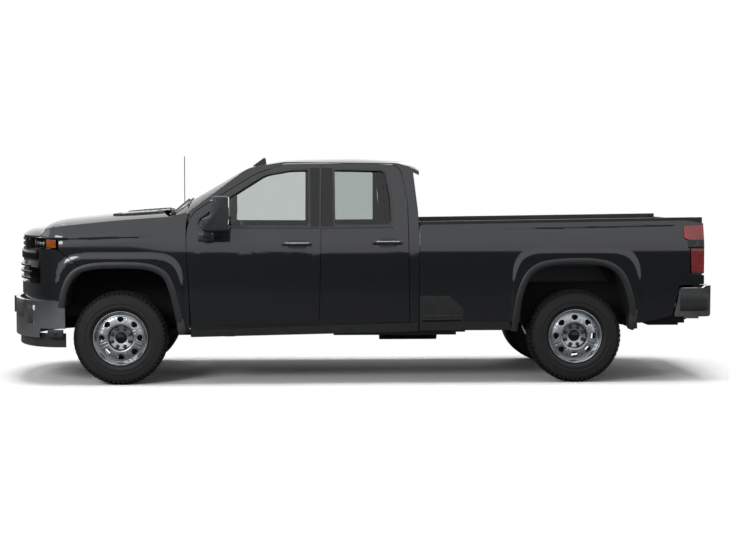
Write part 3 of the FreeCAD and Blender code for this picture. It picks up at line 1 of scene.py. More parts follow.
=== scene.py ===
# %% [markdown]
# A full-size pickup truck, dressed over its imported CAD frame.
# The frame gives every piece its place: the solids are already in metres, with the front
# of the truck towards -X and its left side towards -Y. This script adds what CAD leaves
# plain: finishes, tread, lamps, trim, padded seats and the studio that they are seen in.

# %% Load the frame
import json
import math
import bpy
from mathutils import Matrix, Vector

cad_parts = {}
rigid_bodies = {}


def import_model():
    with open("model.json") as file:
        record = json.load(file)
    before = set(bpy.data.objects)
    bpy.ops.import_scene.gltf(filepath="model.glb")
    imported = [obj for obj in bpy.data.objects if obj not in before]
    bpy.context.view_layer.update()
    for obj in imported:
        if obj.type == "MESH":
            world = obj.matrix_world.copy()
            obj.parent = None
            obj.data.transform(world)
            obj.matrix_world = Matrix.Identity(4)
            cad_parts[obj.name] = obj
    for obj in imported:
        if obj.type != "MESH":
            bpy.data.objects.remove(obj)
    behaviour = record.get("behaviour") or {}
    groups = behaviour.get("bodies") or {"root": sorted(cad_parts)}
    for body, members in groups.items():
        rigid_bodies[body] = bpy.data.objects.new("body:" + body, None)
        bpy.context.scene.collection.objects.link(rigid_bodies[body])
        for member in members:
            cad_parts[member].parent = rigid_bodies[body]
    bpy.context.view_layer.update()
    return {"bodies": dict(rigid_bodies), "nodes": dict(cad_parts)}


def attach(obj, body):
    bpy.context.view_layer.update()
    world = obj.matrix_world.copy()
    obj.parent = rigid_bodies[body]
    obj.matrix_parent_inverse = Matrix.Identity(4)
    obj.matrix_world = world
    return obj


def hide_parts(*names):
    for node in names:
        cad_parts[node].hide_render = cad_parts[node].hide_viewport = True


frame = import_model()
nodes = frame["nodes"]

# %% [markdown]
# Operators act on whatever is selected, and a fresh import leaves everything selected.
# So each piece starts from a clean selection, and ends with its place baked into its mesh,
# because the export sets every object to the origin.

# %% Small helpers for modelling
EDGE_ANGLE, ROUND_ANGLE = 35, 40


def only(piece):
    """Selects one object and nothing else."""
    bpy.ops.object.select_all(action="DESELECT")
    piece.select_set(True)
    bpy.context.view_layer.objects.active = piece
    return piece


def added(name):
    """The object that the last operator added, under a name of its own."""
    piece = bpy.context.object
    piece.name = name
    piece.data.name = name
    return only(piece)


def modify(piece, kind, **settings):
    """Adds one modifier and applies it at once."""
    only(piece)
    modifier = piece.modifiers.new(kind.title(), kind)
    for key, value in settings.items():
        setattr(modifier, key, value)
    bpy.ops.object.modifier_apply(modifier=modifier.name)
    return piece


def settle(piece):
    """Bakes the object's place, turn and scale into its mesh."""
    only(piece)
    bpy.ops.object.transform_apply(location=True, rotation=True, scale=True)
    return piece


def reworked(piece, step):
    """Runs one step on the whole mesh in edit mode, then turns every face outwards."""
    only(piece)
    bpy.ops.object.mode_set(mode="EDIT")
    bpy.ops.mesh.select_all(action="SELECT")
    step()
    bpy.ops.mesh.select_all(action="SELECT")
    bpy.ops.mesh.normals_make_consistent(inside=False)
    bpy.ops.object.mode_set(mode="OBJECT")
    return piece


def outward(piece):
    """Merges doubles and turns every face outwards."""
    return reworked(piece, lambda: bpy.ops.mesh.remove_doubles(threshold=0.00005))


def thickened(piece, flip, thickness, bevel=0.0):
    """Turns a sheet over if asked, makes it thick, and softens its edges by a share of that."""
    if flip:
        piece.data.flip_normals()
    modify(piece, "SOLIDIFY", thickness=thickness, offset=-1)
    if bevel:
        modify(piece, "BEVEL", width=thickness * bevel, segments=2, limit_method="ANGLE")
    return piece


def joined(name, pieces):
    """Makes one object of several."""
    bpy.ops.object.select_all(action="DESELECT")
    for piece in pieces:
        piece.select_set(True)
    bpy.context.view_layer.objects.active = pieces[0]
    if len(pieces) > 1:
        bpy.ops.object.join()
    return added(name)


def copied(piece, name, move=None, mirror_y=False):
    """A copy with its own mesh, moved by a matrix or mirrored to the other side."""
    twin = piece.copy()
    twin.data = piece.data.copy()
    twin.name = name
    bpy.context.scene.collection.objects.link(twin)
    if move is not None:
        twin.data.transform(move)
    if mirror_y:
        twin.data.transform(Matrix.Scale(-1, 4, Vector((0, 1, 0))))
        twin.data.flip_normals()
    return twin


def told(*pieces):
    """Prints what a step has made: each piece with its number of faces."""
    for piece in pieces:
        print(piece.name, len(piece.data.polygons), "faces")


def finish(piece, material, body="chassis", angle=EDGE_ANGLE):
    """Gives a piece its finish, its shading and the body that it moves with, and tells so."""
    settle(piece)
    bpy.ops.object.shade_smooth_by_angle(angle=math.radians(angle))
    piece.data.materials.clear()
    piece.data.materials.append(material)
    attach(piece, body)
    print(piece.name, len(piece.data.polygons), "faces,", material.name, "on", body)
    return piece


def both_sides(piece, material, body_stem="chassis", angle=EDGE_ANGLE):
    """Finishes a piece of the left side and its mirror image on the right side."""
    settle(piece)
    stem = piece.name
    piece.name = stem + "_left"
    twin = copied(piece, stem + "_right", mirror_y=True)
    for item, side in ((piece, "left"), (twin, "right")):
        body = body_stem if body_stem in frame["bodies"] else "%s_%s" % (body_stem, side)
        finish(item, material, body, angle)
    return piece, twin

# %% [markdown]
# Colours are written as the eye reads them, in sRGB hex, and turned to the linear values
# that the renderer works in by one function. One more small function adds a node, sets it
# and links it, which keeps each material short enough to read at a glance.

# %% Helpers for materials
MIX_FIRST, MIX_SECOND, MIX_COLOUR = 6, 7, 2


def linear(code):
    """An sRGB hex colour as linear values, opaque."""
    parts = [int(code[i:i + 2], 16) / 255 for i in (1, 3, 5)]
    return [p / 12.92 if p <= 0.04045 else ((p + 0.055) / 1.055) ** 2.4 for p in parts] + [1.0]


def feed(tree, item, inputs):
    """Gives a node's sockets values, or links them to other nodes' outputs."""
    for key, value in inputs.items():
        if isinstance(value, bpy.types.NodeSocket):
            tree.links.new(value, item.inputs[key])
        else:
            item.inputs[key].default_value = value
    return item


def add(tree, kind, inputs=None, **settings):
    """Adds a node, sets its options and feeds its sockets."""
    item = tree.nodes.new(kind)
    for key, value in settings.items():
        setattr(item, key, value)
    return feed(tree, item, inputs or {})


def bare_tree(owner):
    """The emptied node tree of a material or of the world."""
    owner.use_nodes = True
    owner.node_tree.nodes.clear()
    return owner.node_tree


def new_material(name):
    """An empty node material with its shader, its output and Object coordinates."""
    material = bpy.data.materials.new(name)
    tree = bare_tree(material)
    shader = add(tree, "ShaderNodeBsdfPrincipled")
    add(tree, "ShaderNodeOutputMaterial", {"Surface": shader.outputs["BSDF"]})
    return material, tree, shader, add(tree, "ShaderNodeTexCoord").outputs["Object"]


def noise(tree, place, scale, detail):
    """A soft noise with a given number of spots per metre."""
    return add(tree, "ShaderNodeTexNoise", {"Vector": place, "Scale": scale, "Detail": detail}).outputs["Fac"]


def ranged(tree, value, source=(0.0, 1.0), target=(0.0, 1.0)):
    """A value carried from one range to another."""
    return add(tree, "ShaderNodeMapRange", {"Value": value, "From Min": source[0], "From Max": source[1],
                                            "To Min": target[0], "To Max": target[1]}).outputs["Result"]


def sums(tree, kind, first, second=0.0):
    """The result of a Math node."""
    return add(tree, "ShaderNodeMath", {0: first, 1: second}, operation=kind).outputs["Value"]


def coloured(tree, factor, first, second):
    """A colour between two hex colours, by a factor."""
    return add(tree, "ShaderNodeMix", {"Factor": factor, MIX_FIRST: linear(first),
                                       MIX_SECOND: linear(second)}, data_type="RGBA").outputs[MIX_COLOUR]


def mottle(tree, place, dark, light, scale, detail=4.0):
    """A soft noise, and two colours mixed by it."""
    spots = noise(tree, place, scale, detail)
    return spots, coloured(tree, ranged(tree, spots, (0.35, 0.65)), dark, light)


def bump(tree, height, strength, distance):
    """A normal that is shaded by a height."""
    return add(tree, "ShaderNodeBump",
               {"Height": height, "Strength": strength, "Distance": distance}).outputs["Normal"]


def mottled(name, colours, scale, roughness, sockets):
    """A material of two mottled colours, whose roughness follows the same spots between two values."""
    material, tree, shader, place = new_material(name)
    haze, tint = mottle(tree, place, *colours, scale)
    feed(tree, shader, {"Base Color": tint, "Roughness": ranged(tree, haze, target=roughness), **sockets})
    return material, tree, shader, place, haze

# %% [markdown]
# Car paint is a dark blue-grey base coat with fine metal flake under a clear lacquer.
# The flake makes the upper surfaces light and the sides dark, and the lacquer gives the
# sharp reflections on top. A faint waviness in the lacquer keeps it from looking like ice.

# %% Metallic car paint
def make_paint():
    material, tree, shader, place = new_material("metallic_car_paint")
    _, tint = mottle(tree, place, "#0d0f13", "#1b1f25", 900.0, 1.0)
    peel = bump(tree, noise(tree, place, 240.0, 2.0), 0.03, 0.001)
    feed(tree, shader, {"Base Color": tint, "Coat Normal": peel, "Metallic": 0.75, "Roughness": 0.42,
                        "Coat Weight": 1.0, "Coat Roughness": 0.03, "Coat IOR": 1.62})
    return material


car_paint = make_paint()
print("paint:", car_paint.name)

# %% [markdown]
# Bumpers are pressed steel with polished chrome plate: nearly a mirror, with a slight blue
# tint and the faintest haze. The wheels are steel too, but sprayed silver and lacquered,
# so they blur what they reflect.

# %% Chrome plate and silver wheel paint
chrome_plate = mottled("polished_chrome_plate", ("#c9ccd0", "#dfe1e4"), 6.0, (0.05, 0.12),
                       {"Metallic": 1.0})[0]
wheel_silver = mottled("silver_lacquered_steel", ("#a6aaae", "#b2b6ba"), 90.0, (0.22, 0.26),
                       {"Metallic": 0.95, "Coat Weight": 0.5})[0]
print("bright finishes:", chrome_plate.name, wheel_silver.name)

# %% [markdown]
# The flares, steps, mirrors and mouldings are moulded from black plastic with a fine
# leather-like grain of about half a millimetre. It is drawn at 3 mm, because a finer one
# would vanish at this distance. Gloss black covers the window pillars.

# %% Moulded plastics
def make_plastic(name, dark, light, roughness, grain_scale, strength):
    material, tree, shader, place = new_material(name)
    _, tint = mottle(tree, place, dark, light, 14.0)
    grain = add(tree, "ShaderNodeTexVoronoi", {"Vector": place, "Scale": grain_scale})
    feed(tree, shader, {"Base Color": tint, "Normal": bump(tree, grain.outputs["Distance"], strength, 0.0006),
                        "Roughness": roughness, "IOR": 1.5})
    return material


black_plastic = make_plastic("grained_black_plastic", "#1d1e1f", "#26282a", 0.55, 330.0, 0.25)
satin_plastic = make_plastic("satin_flare_plastic", "#2b2d2f", "#343638", 0.42, 330.0, 0.15)
gloss_black = make_plastic("gloss_black_plastic", "#08090a", "#0d0e10", 0.12, 60.0, 0.0)
interior_plastic = make_plastic("soft_dash_plastic", "#232427", "#2e2f33", 0.6, 330.0, 0.3)
liner_felt = make_plastic("wheel_liner_felt", "#0c0c0d", "#141415", 0.9, 200.0, 0.5)
print("plastics:", black_plastic.name, satin_plastic.name, gloss_black.name, interior_plastic.name)

# %% [markdown]
# Tyre rubber is carbon black: dark, dull, and a little paler where dust sits on it. The
# sidewall has fine rings from the mould, drawn by distance from the axle.

# %% Tyre rubber
def make_rubber():
    material, tree, shader, place, _ = mottled("carbon_black_tyre_rubber", ("#0b0b0c", "#131314"), 35.0,
                                               (0.55, 0.8), {})
    feed(tree, shader, {"Normal": bump(tree, noise(tree, place, 420.0, 3.0), 0.2, 0.0006)})
    return material


tyre_rubber = make_rubber()
print("rubber:", tyre_rubber.name)

# %% [markdown]
# All window glass is nearly clear, the rear panes a touch darker, since the photograph's
# white backdrop shows through the cab. A pane is thin, so it lets light straight through
# and adds only the mirror-like reflection at its surface.

# %% Panes
def make_pane(name, tint):
    material = bpy.data.materials.new(name)
    tree = bare_tree(material)
    place = add(tree, "ShaderNodeTexCoord").outputs["Object"]
    ripple = bump(tree, noise(tree, place, 2.0, 1.0), 0.02, 0.002)
    clear = add(tree, "ShaderNodeBsdfTransparent", {"Color": linear(tint)}).outputs["BSDF"]
    gloss = add(tree, "ShaderNodeBsdfGlossy", {"Roughness": 0.02, "Normal": ripple}).outputs["BSDF"]
    edge = add(tree, "ShaderNodeFresnel", {"IOR": 1.45, "Normal": ripple}).outputs["Fac"]
    mix = add(tree, "ShaderNodeMixShader", {"Fac": edge, 1: clear, 2: gloss})
    add(tree, "ShaderNodeOutputMaterial", {"Surface": mix.outputs["Shader"]})
    return material


cab_glass = make_pane("tinted_safety_glass", "#eceeed")
privacy_glass = make_pane("privacy_tinted_glass", "#e4e7e6")
lamp_lens = make_pane("clear_polycarbonate_lens", "#eef1f2")
print("panes:", cab_glass.name, privacy_glass.name, lamp_lens.name)

# %% [markdown]
# Tail lamps have lenses of moulded acrylic, coloured all through, with fine ribs inside
# that spread the light. The ribs are sine waves over the height, about 12 mm apart, because
# as geometry they would cost thousands of faces for the same shimmer. Amber is the signal.

# %% Coloured lamp lenses
def make_red_lens():
    material, tree, shader, place = new_material("ruby_acrylic_lens")
    _, tint = mottle(tree, place, "#96040e", "#c20a16", 8.0)
    height = add(tree, "ShaderNodeSeparateXYZ", {"Vector": place}).outputs["Z"]
    ribs = sums(tree, "SINE", sums(tree, "MULTIPLY", height, 520.0))
    feed(tree, shader, {"Normal": bump(tree, ribs, 0.35, 0.001), "Base Color": tint, "Roughness": 0.12,
                        "Coat Weight": 1.0})
    return material


red_lens = make_red_lens()
amber_lens = make_plastic("amber_acrylic_lens", "#d35a08", "#f08a1c", 0.15, 120.0, 0.4)
print("lenses:", red_lens.name, amber_lens.name)

# %% [markdown]
# Under the body, the frame and axles are painted or waxed black steel, the engine and
# gearbox are rough cast aluminium, and the exhaust is steel that heat has browned.

# %% Metals of the chassis
def make_metal(name, dark, light, metallic, low, high, scale, strength):
    material, tree, shader, _, haze = mottled(name, (dark, light), scale, (low, high), {"Metallic": metallic})
    feed(tree, shader, {"Normal": bump(tree, haze, strength, 0.001)})
    return material


chassis_steel = make_metal("waxed_black_steel", "#0f0f10", "#1c1c1d", 0.3, 0.45, 0.7, 40.0, 0.2)
cast_aluminium = make_metal("sand_cast_aluminium", "#6c6e70", "#8b8d8f", 0.8, 0.5, 0.7, 260.0, 0.4)
exhaust_steel = make_metal("heat_browned_steel", "#5c554e", "#8a857e", 0.9, 0.35, 0.6, 9.0, 0.1)
bright_metal = make_metal("satin_aluminium_trim", "#b9bcc0", "#d2d5d8", 1.0, 0.18, 0.28, 30.0, 0.0)
brake_iron = make_metal("turned_brake_iron", "#3c3b3a", "#565554", 0.8, 0.4, 0.6, 120.0, 0.3)
mirror_silver = make_metal("silvered_mirror", "#dfe3e6", "#eceff1", 1.0, 0.02, 0.03, 3.0, 0.0)
print("metals:", chassis_steel.name, cast_aluminium.name, exhaust_steel.name, brake_iron.name)

# %% [markdown]
# The seats are covered with a woven cloth. Its threads are about 1 mm across, drawn at
# 3 mm, as crossed waves in Object coordinates, so that the weave doesn't depend on UVs.

# %% Seat cloth
THREAD = 0.003


def make_cloth():
    material, tree, shader, place = new_material("woven_seat_cloth")
    turn = add(tree, "ShaderNodeMapping", {"Vector": place, "Rotation": (0.0, 0.35, 0.0)})
    split = add(tree, "ShaderNodeSeparateXYZ", {"Vector": turn.outputs["Vector"]})
    waves = [sums(tree, "SINE", sums(tree, "MULTIPLY", split.outputs[axis], 2 * math.pi / THREAD))
             for axis in ("X", "Y", "Z")]
    weave = sums(tree, "ADD", sums(tree, "MULTIPLY", waves[0], waves[1]), waves[2])
    tint = coloured(tree, ranged(tree, weave, (-1.5, 1.5)), "#17181a", "#2b2d30")
    feed(tree, shader, {"Base Color": tint, "Normal": bump(tree, weave, 0.3, 0.0006), "Roughness": 0.85,
                        "Sheen Weight": 0.3})
    return material


seat_cloth = make_cloth()
print("threads drawn at", 1000 * THREAD, "mm")

# %% [markdown]
# The finishes of the added pieces are listed under slot names in one table. The loop over
# it sets nothing, so a piece names only its material.

# %% Slots of the finishes
for slot, materials in (("body_paint", (car_paint,)), ("chrome", (chrome_plate, bright_metal, mirror_silver)),
                        ("black_plastic", (satin_plastic, gloss_black, liner_felt)),
                        ("interior_plastic", (interior_plastic,)), ("tyre_rubber", (tyre_rubber,)),
                        ("wheel_steel", (wheel_silver, brake_iron)), ("clear_lens", (lamp_lens,)),
                        ("red_lens", (amber_lens,)), ("seat_cloth", (seat_cloth,))):
    for material in materials:
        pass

# %% [markdown]
# The CAD nodes keep their meshes. Only their finish changes, so each name is matched to
# the material that the real piece has.

# %% Dress the CAD nodes
FINISHES = [
    (("door_front", "door_rear", "cab_side", "cab_back", "bed_side", "bed_front", "bed_floor", "roof", "hood",
      "fender", "tailgate", "bumper_cap", "front_corners", "cab_floor"), car_paint),
    (("front_bumper", "rear_bumper"), chrome_plate),
    (("frame", "front_axle", "rear_axle", "knuckle"), chassis_steel),
    (("powertrain",), cast_aluminium),
    (("exhaust",), exhaust_steel),
    (("glass_front", "windshield"), cab_glass),
    (("glass_rear", "rear_window"), privacy_glass),
    (("wheel_flares",), satin_plastic),
    (("front_valance", "sill_mouldings", "bed_steps", "bed_rails", "cowl", "grille", "mirror", "antennas",
      "fuel_tank"), black_plastic),
    (("wheel_liners",), liner_felt),
    (("dashboard", "steering_wheel"), interior_plastic),
    (("tail_lamps",), red_lens),
    (("headlamps",), lamp_lens),
    (("seats_front", "seat_rear"), seat_cloth),
    (("tyre",), tyre_rubber),
    (("wheel_front", "wheel_rear"), wheel_silver),
]
for name, item in nodes.items():
    for stems, material in FINISHES:
        if name.startswith(stems):
            item.data.materials.clear()
            item.data.materials.append(material)
            break
    else:
        print("no finish for", name)
print(len(nodes), "CAD nodes dressed")

# %% [markdown]
# The camera stands where the photographer stood: fifteen metres to the left of the truck's
# middle, a little ahead of it and at 1.8 m, looking slightly down. Its place was found by
# fitting the wheels, doors and roof of the photograph.

# %% Camera
CAMERA_PLACE = Vector((-0.697, -14.958, 1.8165))
CAMERA_YAW = math.radians(2.963)
CAMERA_PITCH = math.radians(3.354)
camera_data = bpy.data.cameras.new("photo_camera")
camera_data.lens = 76.36
camera_data.sensor_width = 36
camera = bpy.data.objects.new("photo_camera", camera_data)
bpy.context.scene.collection.objects.link(camera)
look = Vector((math.sin(CAMERA_YAW) * math.cos(CAMERA_PITCH), math.cos(CAMERA_YAW) * math.cos(CAMERA_PITCH),
               -math.sin(CAMERA_PITCH)))
camera.location = CAMERA_PLACE
camera.rotation_euler = look.to_track_quat("-Z", "Y").to_euler()
bpy.context.scene.camera = camera
bpy.context.scene.view_settings.view_transform = "Standard"
print("camera stands", round(CAMERA_PLACE.length, 2), "m from the truck's middle")

# %% [markdown]
# The studio is a pale floor that runs into a white backdrop. The floor is a plain diffuse
# surface that takes the shadow. Seen straight by the camera it is lifted towards white, and
# further from the truck it is white, so that only the shadow darkens it.

# %% Floor
bpy.ops.mesh.primitive_plane_add(size=1)
floor = added("studio_floor")
floor.scale = (120, 120, 1)
settle(floor)


def make_floor():
    material = bpy.data.materials.new("matt_studio_floor")
    tree = bare_tree(material)
    place = add(tree, "ShaderNodeTexCoord").outputs["Object"]
    speck = noise(tree, place, 0.5, 2.0)
    seen = add(tree, "ShaderNodeLightPath")
    dim = coloured(tree, speck, "#5c5c5c", "#606060")
    pale = coloured(tree, speck, "#707070", "#747474")
    tint = add(tree, "ShaderNodeMix", {"Factor": seen.outputs["Is Glossy Ray"], MIX_FIRST: dim,
                                       MIX_SECOND: pale}, data_type="RGBA").outputs[MIX_COLOUR]
    matt, full, part = [add(tree, "ShaderNodeBsdfDiffuse", {"Color": colour}).outputs["BSDF"]
                        for colour in (tint, (1.0, 1.0, 1.0, 1.0), (0.6, 0.6, 0.6, 1.0))]
    lit = add(tree, "ShaderNodeAddShader", {0: full, 1: part}).outputs["Shader"]
    white = add(tree, "ShaderNodeEmission", {"Color": (1.0, 1.0, 1.0, 1.0),
                                             "Strength": 1.0}).outputs["Emission"]
    reach = add(tree, "ShaderNodeVectorMath", {0: place, 1: (0.30, 0.80, 1.0)}, operation="MULTIPLY")
    away = add(tree, "ShaderNodeVectorMath", {0: reach.outputs["Vector"]},
               operation="LENGTH").outputs["Value"]
    far = ranged(tree, away, (1.03, 1.6))
    lifted = add(tree, "ShaderNodeMixShader", {"Fac": far, 1: lit, 2: white}).outputs["Shader"]
    direct = sums(tree, "MAXIMUM", seen.outputs["Is Camera Ray"], seen.outputs["Is Transmission Ray"])
    mix = add(tree, "ShaderNodeMixShader", {"Fac": direct, 1: matt, 2: lifted})
    add(tree, "ShaderNodeOutputMaterial", {"Surface": mix.outputs["Shader"]})
    return material


floor.data.materials.append(make_floor())
told(floor)

# %% [markdown]
# The backdrop is the world itself. A curved wall would do too, but it would have to stand
# far off to look even from every side. What the camera, the glass and the paint see of it is
# white, while only a fifth of that lights the truck, so that the lamps shape it.

# %% Backdrop
world = bpy.data.worlds.new("white_backdrop")
bpy.context.scene.world = world
tree = bare_tree(world)
seen = add(tree, "ShaderNodeLightPath").outputs
mirrored = sums(tree, "MAXIMUM", seen["Is Camera Ray"], seen["Is Glossy Ray"])
direct = sums(tree, "MAXIMUM", mirrored, seen["Is Transmission Ray"])
level = ranged(tree, direct, target=(0.22, 1.0))
backdrop = add(tree, "ShaderNodeBackground", {"Color": (1, 1, 1, 1), "Strength": level})
add(tree, "ShaderNodeOutputWorld", {"Surface": backdrop.outputs["Background"]})
print("backdrop:", world.name)

# %% [markdown]
# Dark paint shows what it reflects more than its own colour, so a car is lit with large soft
# boxes. The one overhead makes the roof and hood light and leaves the sides dark. The one
# on the left gives the doors their glow, and the two others only fill.

# %% Lamps
def soft_box(name, place, aim, size, power):
    """A rectangular lamp that faces a place."""
    data = bpy.data.lights.new(name, "AREA")
    data.shape = "RECTANGLE"
    data.size, data.size_y = size
    data.energy = power
    lamp = bpy.data.objects.new(name, data)
    lamp.location = place
    lamp.rotation_euler = (Vector(aim) - Vector(place)).to_track_quat("-Z", "Y").to_euler()
    bpy.context.scene.collection.objects.link(lamp)
    return lamp


soft_box("top_box", (0, 0, 7), (0, 0, 0), (9, 5), 560)
soft_box("left_box", (-6.5, -9, 5), (-1, 0, 1), (4, 2.5), 300)
soft_box("front_box", (-11, -3, 5), (0, 0, 1), (4, 3), 60)
soft_box("right_box", (4, 9, 5), (0, 0, 1), (6, 3), 50)

# %% [markdown]
# Several trims lie on the doors and the bed, whose sides follow one smooth formula. It is
# repeated here in metres, so that a plate can be laid on the skin from any outline that is
# given by its distance along the truck and its height.

# %% The body side as a formula
FRONT_AXLE_X, REAR_AXLE_X, AXLE_Z, TRACK_HALF = -2.178, 1.950, 0.4215, 0.870
WAIST_HALF, WAIST_Z, SILL_TUCK = 1.0395, 0.9, 0.15
SHOULDER_Z, SHOULDER_LEAN, SHOULDER_SOFT = 1.262, 0.27, 0.026
FENDER_FROM_X, FENDER_BLEND, FENDER_RISE, FENDER_LEAN = -1.65, 0.5, 0.075, 0.16
BELT_Z, GLASS_LEAN, BELT_SOFT = 1.425, 0.079, 0.020
TAIL_FROM_X, TAIL_LENGTH, TAIL_TUCK = 2.7, 0.424, 0.012
BULGES = ((FRONT_AXLE_X, 0.580, 0.768), (REAR_AXLE_X, 0.600, 0.815))
BULGE_LIFT, BULGE_FADE = 0.009, 0.038
GROOVES = ((-3.2, -1.79, (-2.738, 1.322, -1.774, 1.345), (-2.738, 1.256, -1.774, 1.306)),
           (1.19, 2.94, (1.190, 1.402, 2.934, 1.440), (1.190, 1.374, 2.934, 1.330)))
GROOVE_DEPTH, GROOVE_FADE, GROOVE_LIP = 0.009, 0.110, 0.012
NOSE_START_X, NOSE_LENGTH, NOSE_POWER = -2.663, 0.492, 2.2
CUT_OUT_Y, CUT_IN_Y = -1.3, -0.5


def soft_ramp(distance, softness):
    """Nothing below zero and the distance above it, with a soft corner between."""
    return (distance + math.sqrt(distance * distance + softness * softness)) / 2


def smooth_step(value):
    """An even S-shaped rise from 0 to 1."""
    value = min(max(value, 0), 1)
    return value * value * (3 - 2 * value)


def groove(x, z, start, finish, top, foot):
    """The depth share of a hollow whose sharp top and soft foot are two slanting lines."""
    along = (x - top[0]) / (top[2] - top[0])
    top_z = top[1] + along * (top[3] - top[1])
    foot_z = foot[1] + along * (foot[3] - foot[1])
    fade = smooth_step((x - start) / GROOVE_FADE) * smooth_step((finish - x) / GROOVE_FADE)
    fade *= smooth_step((top_z - z) / GROOVE_LIP)
    return fade * smooth_step((z - foot_z) / max(top_z - foot_z, 0.001))


def side_half(x, z):
    """Half of the body's width at a place along it and a height."""
    front = smooth_step((FENDER_FROM_X - x) / FENDER_BLEND)
    shoulder_z = z - SHOULDER_Z - FENDER_RISE * front
    half = WAIST_HALF - SILL_TUCK * max(WAIST_Z - z, 0) ** 2
    half -= (SHOULDER_LEAN + FENDER_LEAN * front) * soft_ramp(shoulder_z, SHOULDER_SOFT)
    half -= GLASS_LEAN * soft_ramp(z - BELT_Z, BELT_SOFT)
    half -= TAIL_TUCK * (max(x - TAIL_FROM_X, 0) / TAIL_LENGTH) ** 2
    for centre_x, length, height in BULGES:
        reach = ((abs(x - centre_x) / length) ** 6 + (abs(z - AXLE_Z) / height) ** 6) ** (1 / 6)
        half += BULGE_LIFT * smooth_step((1 - reach) * height / BULGE_FADE)
    for limits in GROOVES:
        half -= GROOVE_DEPTH * groove(x, z, *limits)
    ahead = min(max((NOSE_START_X - x) / NOSE_LENGTH, 0), 1)
    return half * max(1 - ahead ** NOSE_POWER, 0) ** (1 / NOSE_POWER)


def on_side(x, z, lift=0.001):
    """The place on the left side's skin, or a little outside it."""
    return Vector((x, -side_half(x, z) - lift, z))


print("half width at the waist", round(side_half(0.0, WAIST_Z), 4), "m")

# %% [markdown]
# A curved sheet starts as a flat grid. Each of its points is then put in place by a formula
# of two shares, along and up. Pulling a grid about by hand could do the same, but the formula
# keeps it on the skin to a tenth of a millimetre.

# %% Sheets laid by a formula
def between(low, high, share):
    """The value at a share of the way from one to another."""
    return low + share * (high - low)


def plate(name, columns, rows, place_at):
    """A curved sheet: a grid whose points are put in place by a formula of two shares."""
    bpy.ops.mesh.primitive_grid_add(x_subdivisions=columns, y_subdivisions=rows, size=1)
    piece = added(name)
    for vertex in piece.data.vertices:
        vertex.co = place_at(vertex.co.x + 0.5, vertex.co.y + 0.5)
    return piece


def faces_right(piece):
    """Whether most of a sheet looks to the right side of the truck, which is inwards here."""
    return sum(face.normal.y * face.area for face in piece.data.polygons) > 0


# %% [markdown]
# Most outlines are a few straight or slightly bowed edges with rounded corners. So they are
# written as corners with a radius each, and the arcs are worked out. An outline can also be
# moved outwards or inwards, which turns it into a band.

# %% Outlines and bands
def rounded(corners, steps=5):
    """A closed outline through (x, z, radius) corners, each turned with an arc of its radius."""
    points = []
    for index, (x, z, radius) in enumerate(corners):
        corner = Vector((x, z))
        back = Vector(corners[index - 1][:2]) - corner
        ahead = Vector(corners[(index + 1) % len(corners)][:2]) - corner
        angle = back.angle(ahead)
        reach = min(radius / math.tan(angle / 2), 0.45 * back.length, 0.45 * ahead.length)
        if reach < 1e-5:
            points.append(corner)
            continue
        start, stop = corner + back.normalized() * reach, corner + ahead.normalized() * reach
        for step in range(steps + 1):
            share = step / steps
            points.append(start * (1 - share) ** 2 + corner * 2 * share * (1 - share) + stop * share ** 2)
    return points


def grown(points, distance):
    """The outline moved outwards by a distance."""
    area = sum(points[i - 1].cross(points[i]) for i in range(len(points)))
    side = 1 if area > 0 else -1
    moved = []
    for index, point in enumerate(points):
        tangent = (points[(index + 1) % len(points)] - points[index - 1]).normalized()
        moved.append(point + Vector((tangent.y, -tangent.x)) * distance * side)
    return moved


def band_on_side(name, outline, inside, outside, lift, thickness):
    """A flat ring on the body's side that follows an outline."""
    inner, outer = grown(outline, inside), grown(outline, outside)
    count = len(outline)

    def place_at(u, v):
        index = int(round(u * count)) % count
        point = inner[index].lerp(outer[index], v)
        return on_side(point.x, point.y, lift)

    piece = outward(plate(name, count, 2, place_at))
    return thickened(piece, faces_right(piece), thickness)


# %% [markdown]
# The rest is built from three plain starts: a filled outline that is extruded across the
# truck, a box, and a round bar. Bevels soften their edges, since no moulded or pressed edge
# is sharp, and a cut is made with a second shape that is used up.

# %% Blocks, boxes, bars and cuts
def prism(name, outline, y_low, y_high):
    """A straight block with an (x, z) outline between two places across the truck."""
    bpy.ops.mesh.primitive_circle_add(vertices=len(outline), radius=1, fill_type="NGON")
    piece = added(name)
    for vertex, point in zip(piece.data.vertices, outline):
        vertex.co = (point[0], y_low, point[1])
    move = {"value": (0, y_high - y_low, 0)}
    return reworked(piece, lambda: bpy.ops.mesh.extrude_region_move(TRANSFORM_OT_translate=move))


def carved(piece, tool, operation="DIFFERENCE"):
    """Cuts a piece with another, which is used up."""
    modify(piece, "BOOLEAN", object=tool, operation=operation, solver="EXACT")
    bpy.data.objects.remove(tool)
    return piece


def rounded_box(name, low, high, radius):
    """A box between two corners, with rounded edges."""
    bpy.ops.mesh.primitive_cube_add(size=1, location=[(a + b) / 2 for a, b in zip(low, high)])
    piece = added(name)
    piece.scale = [b - a for a, b in zip(low, high)]
    return modify(settle(piece), "BEVEL", width=radius, segments=3)


def tube(name, start, stop, radius, vertices=20):
    """A round bar between two places."""
    start, stop = Vector(start), Vector(stop)
    turn = (stop - start).to_track_quat("Z", "Y").to_euler()
    bpy.ops.mesh.primitive_cylinder_add(vertices=vertices, radius=radius, depth=(stop - start).length,
                                        location=(start + stop) / 2, rotation=turn)
    piece = settle(added(name))
    return modify(piece, "BEVEL", width=min(radius * 0.3, 0.003), segments=2, limit_method="ANGLE")

# %% [markdown]
# The tyre is spun like the real one's mould: a cross-section is turned round the axle.
# The section is a rounded box with a flatter tread, and the tread blocks are laid over it
# afterwards, one row of the pattern repeated round the wheel.

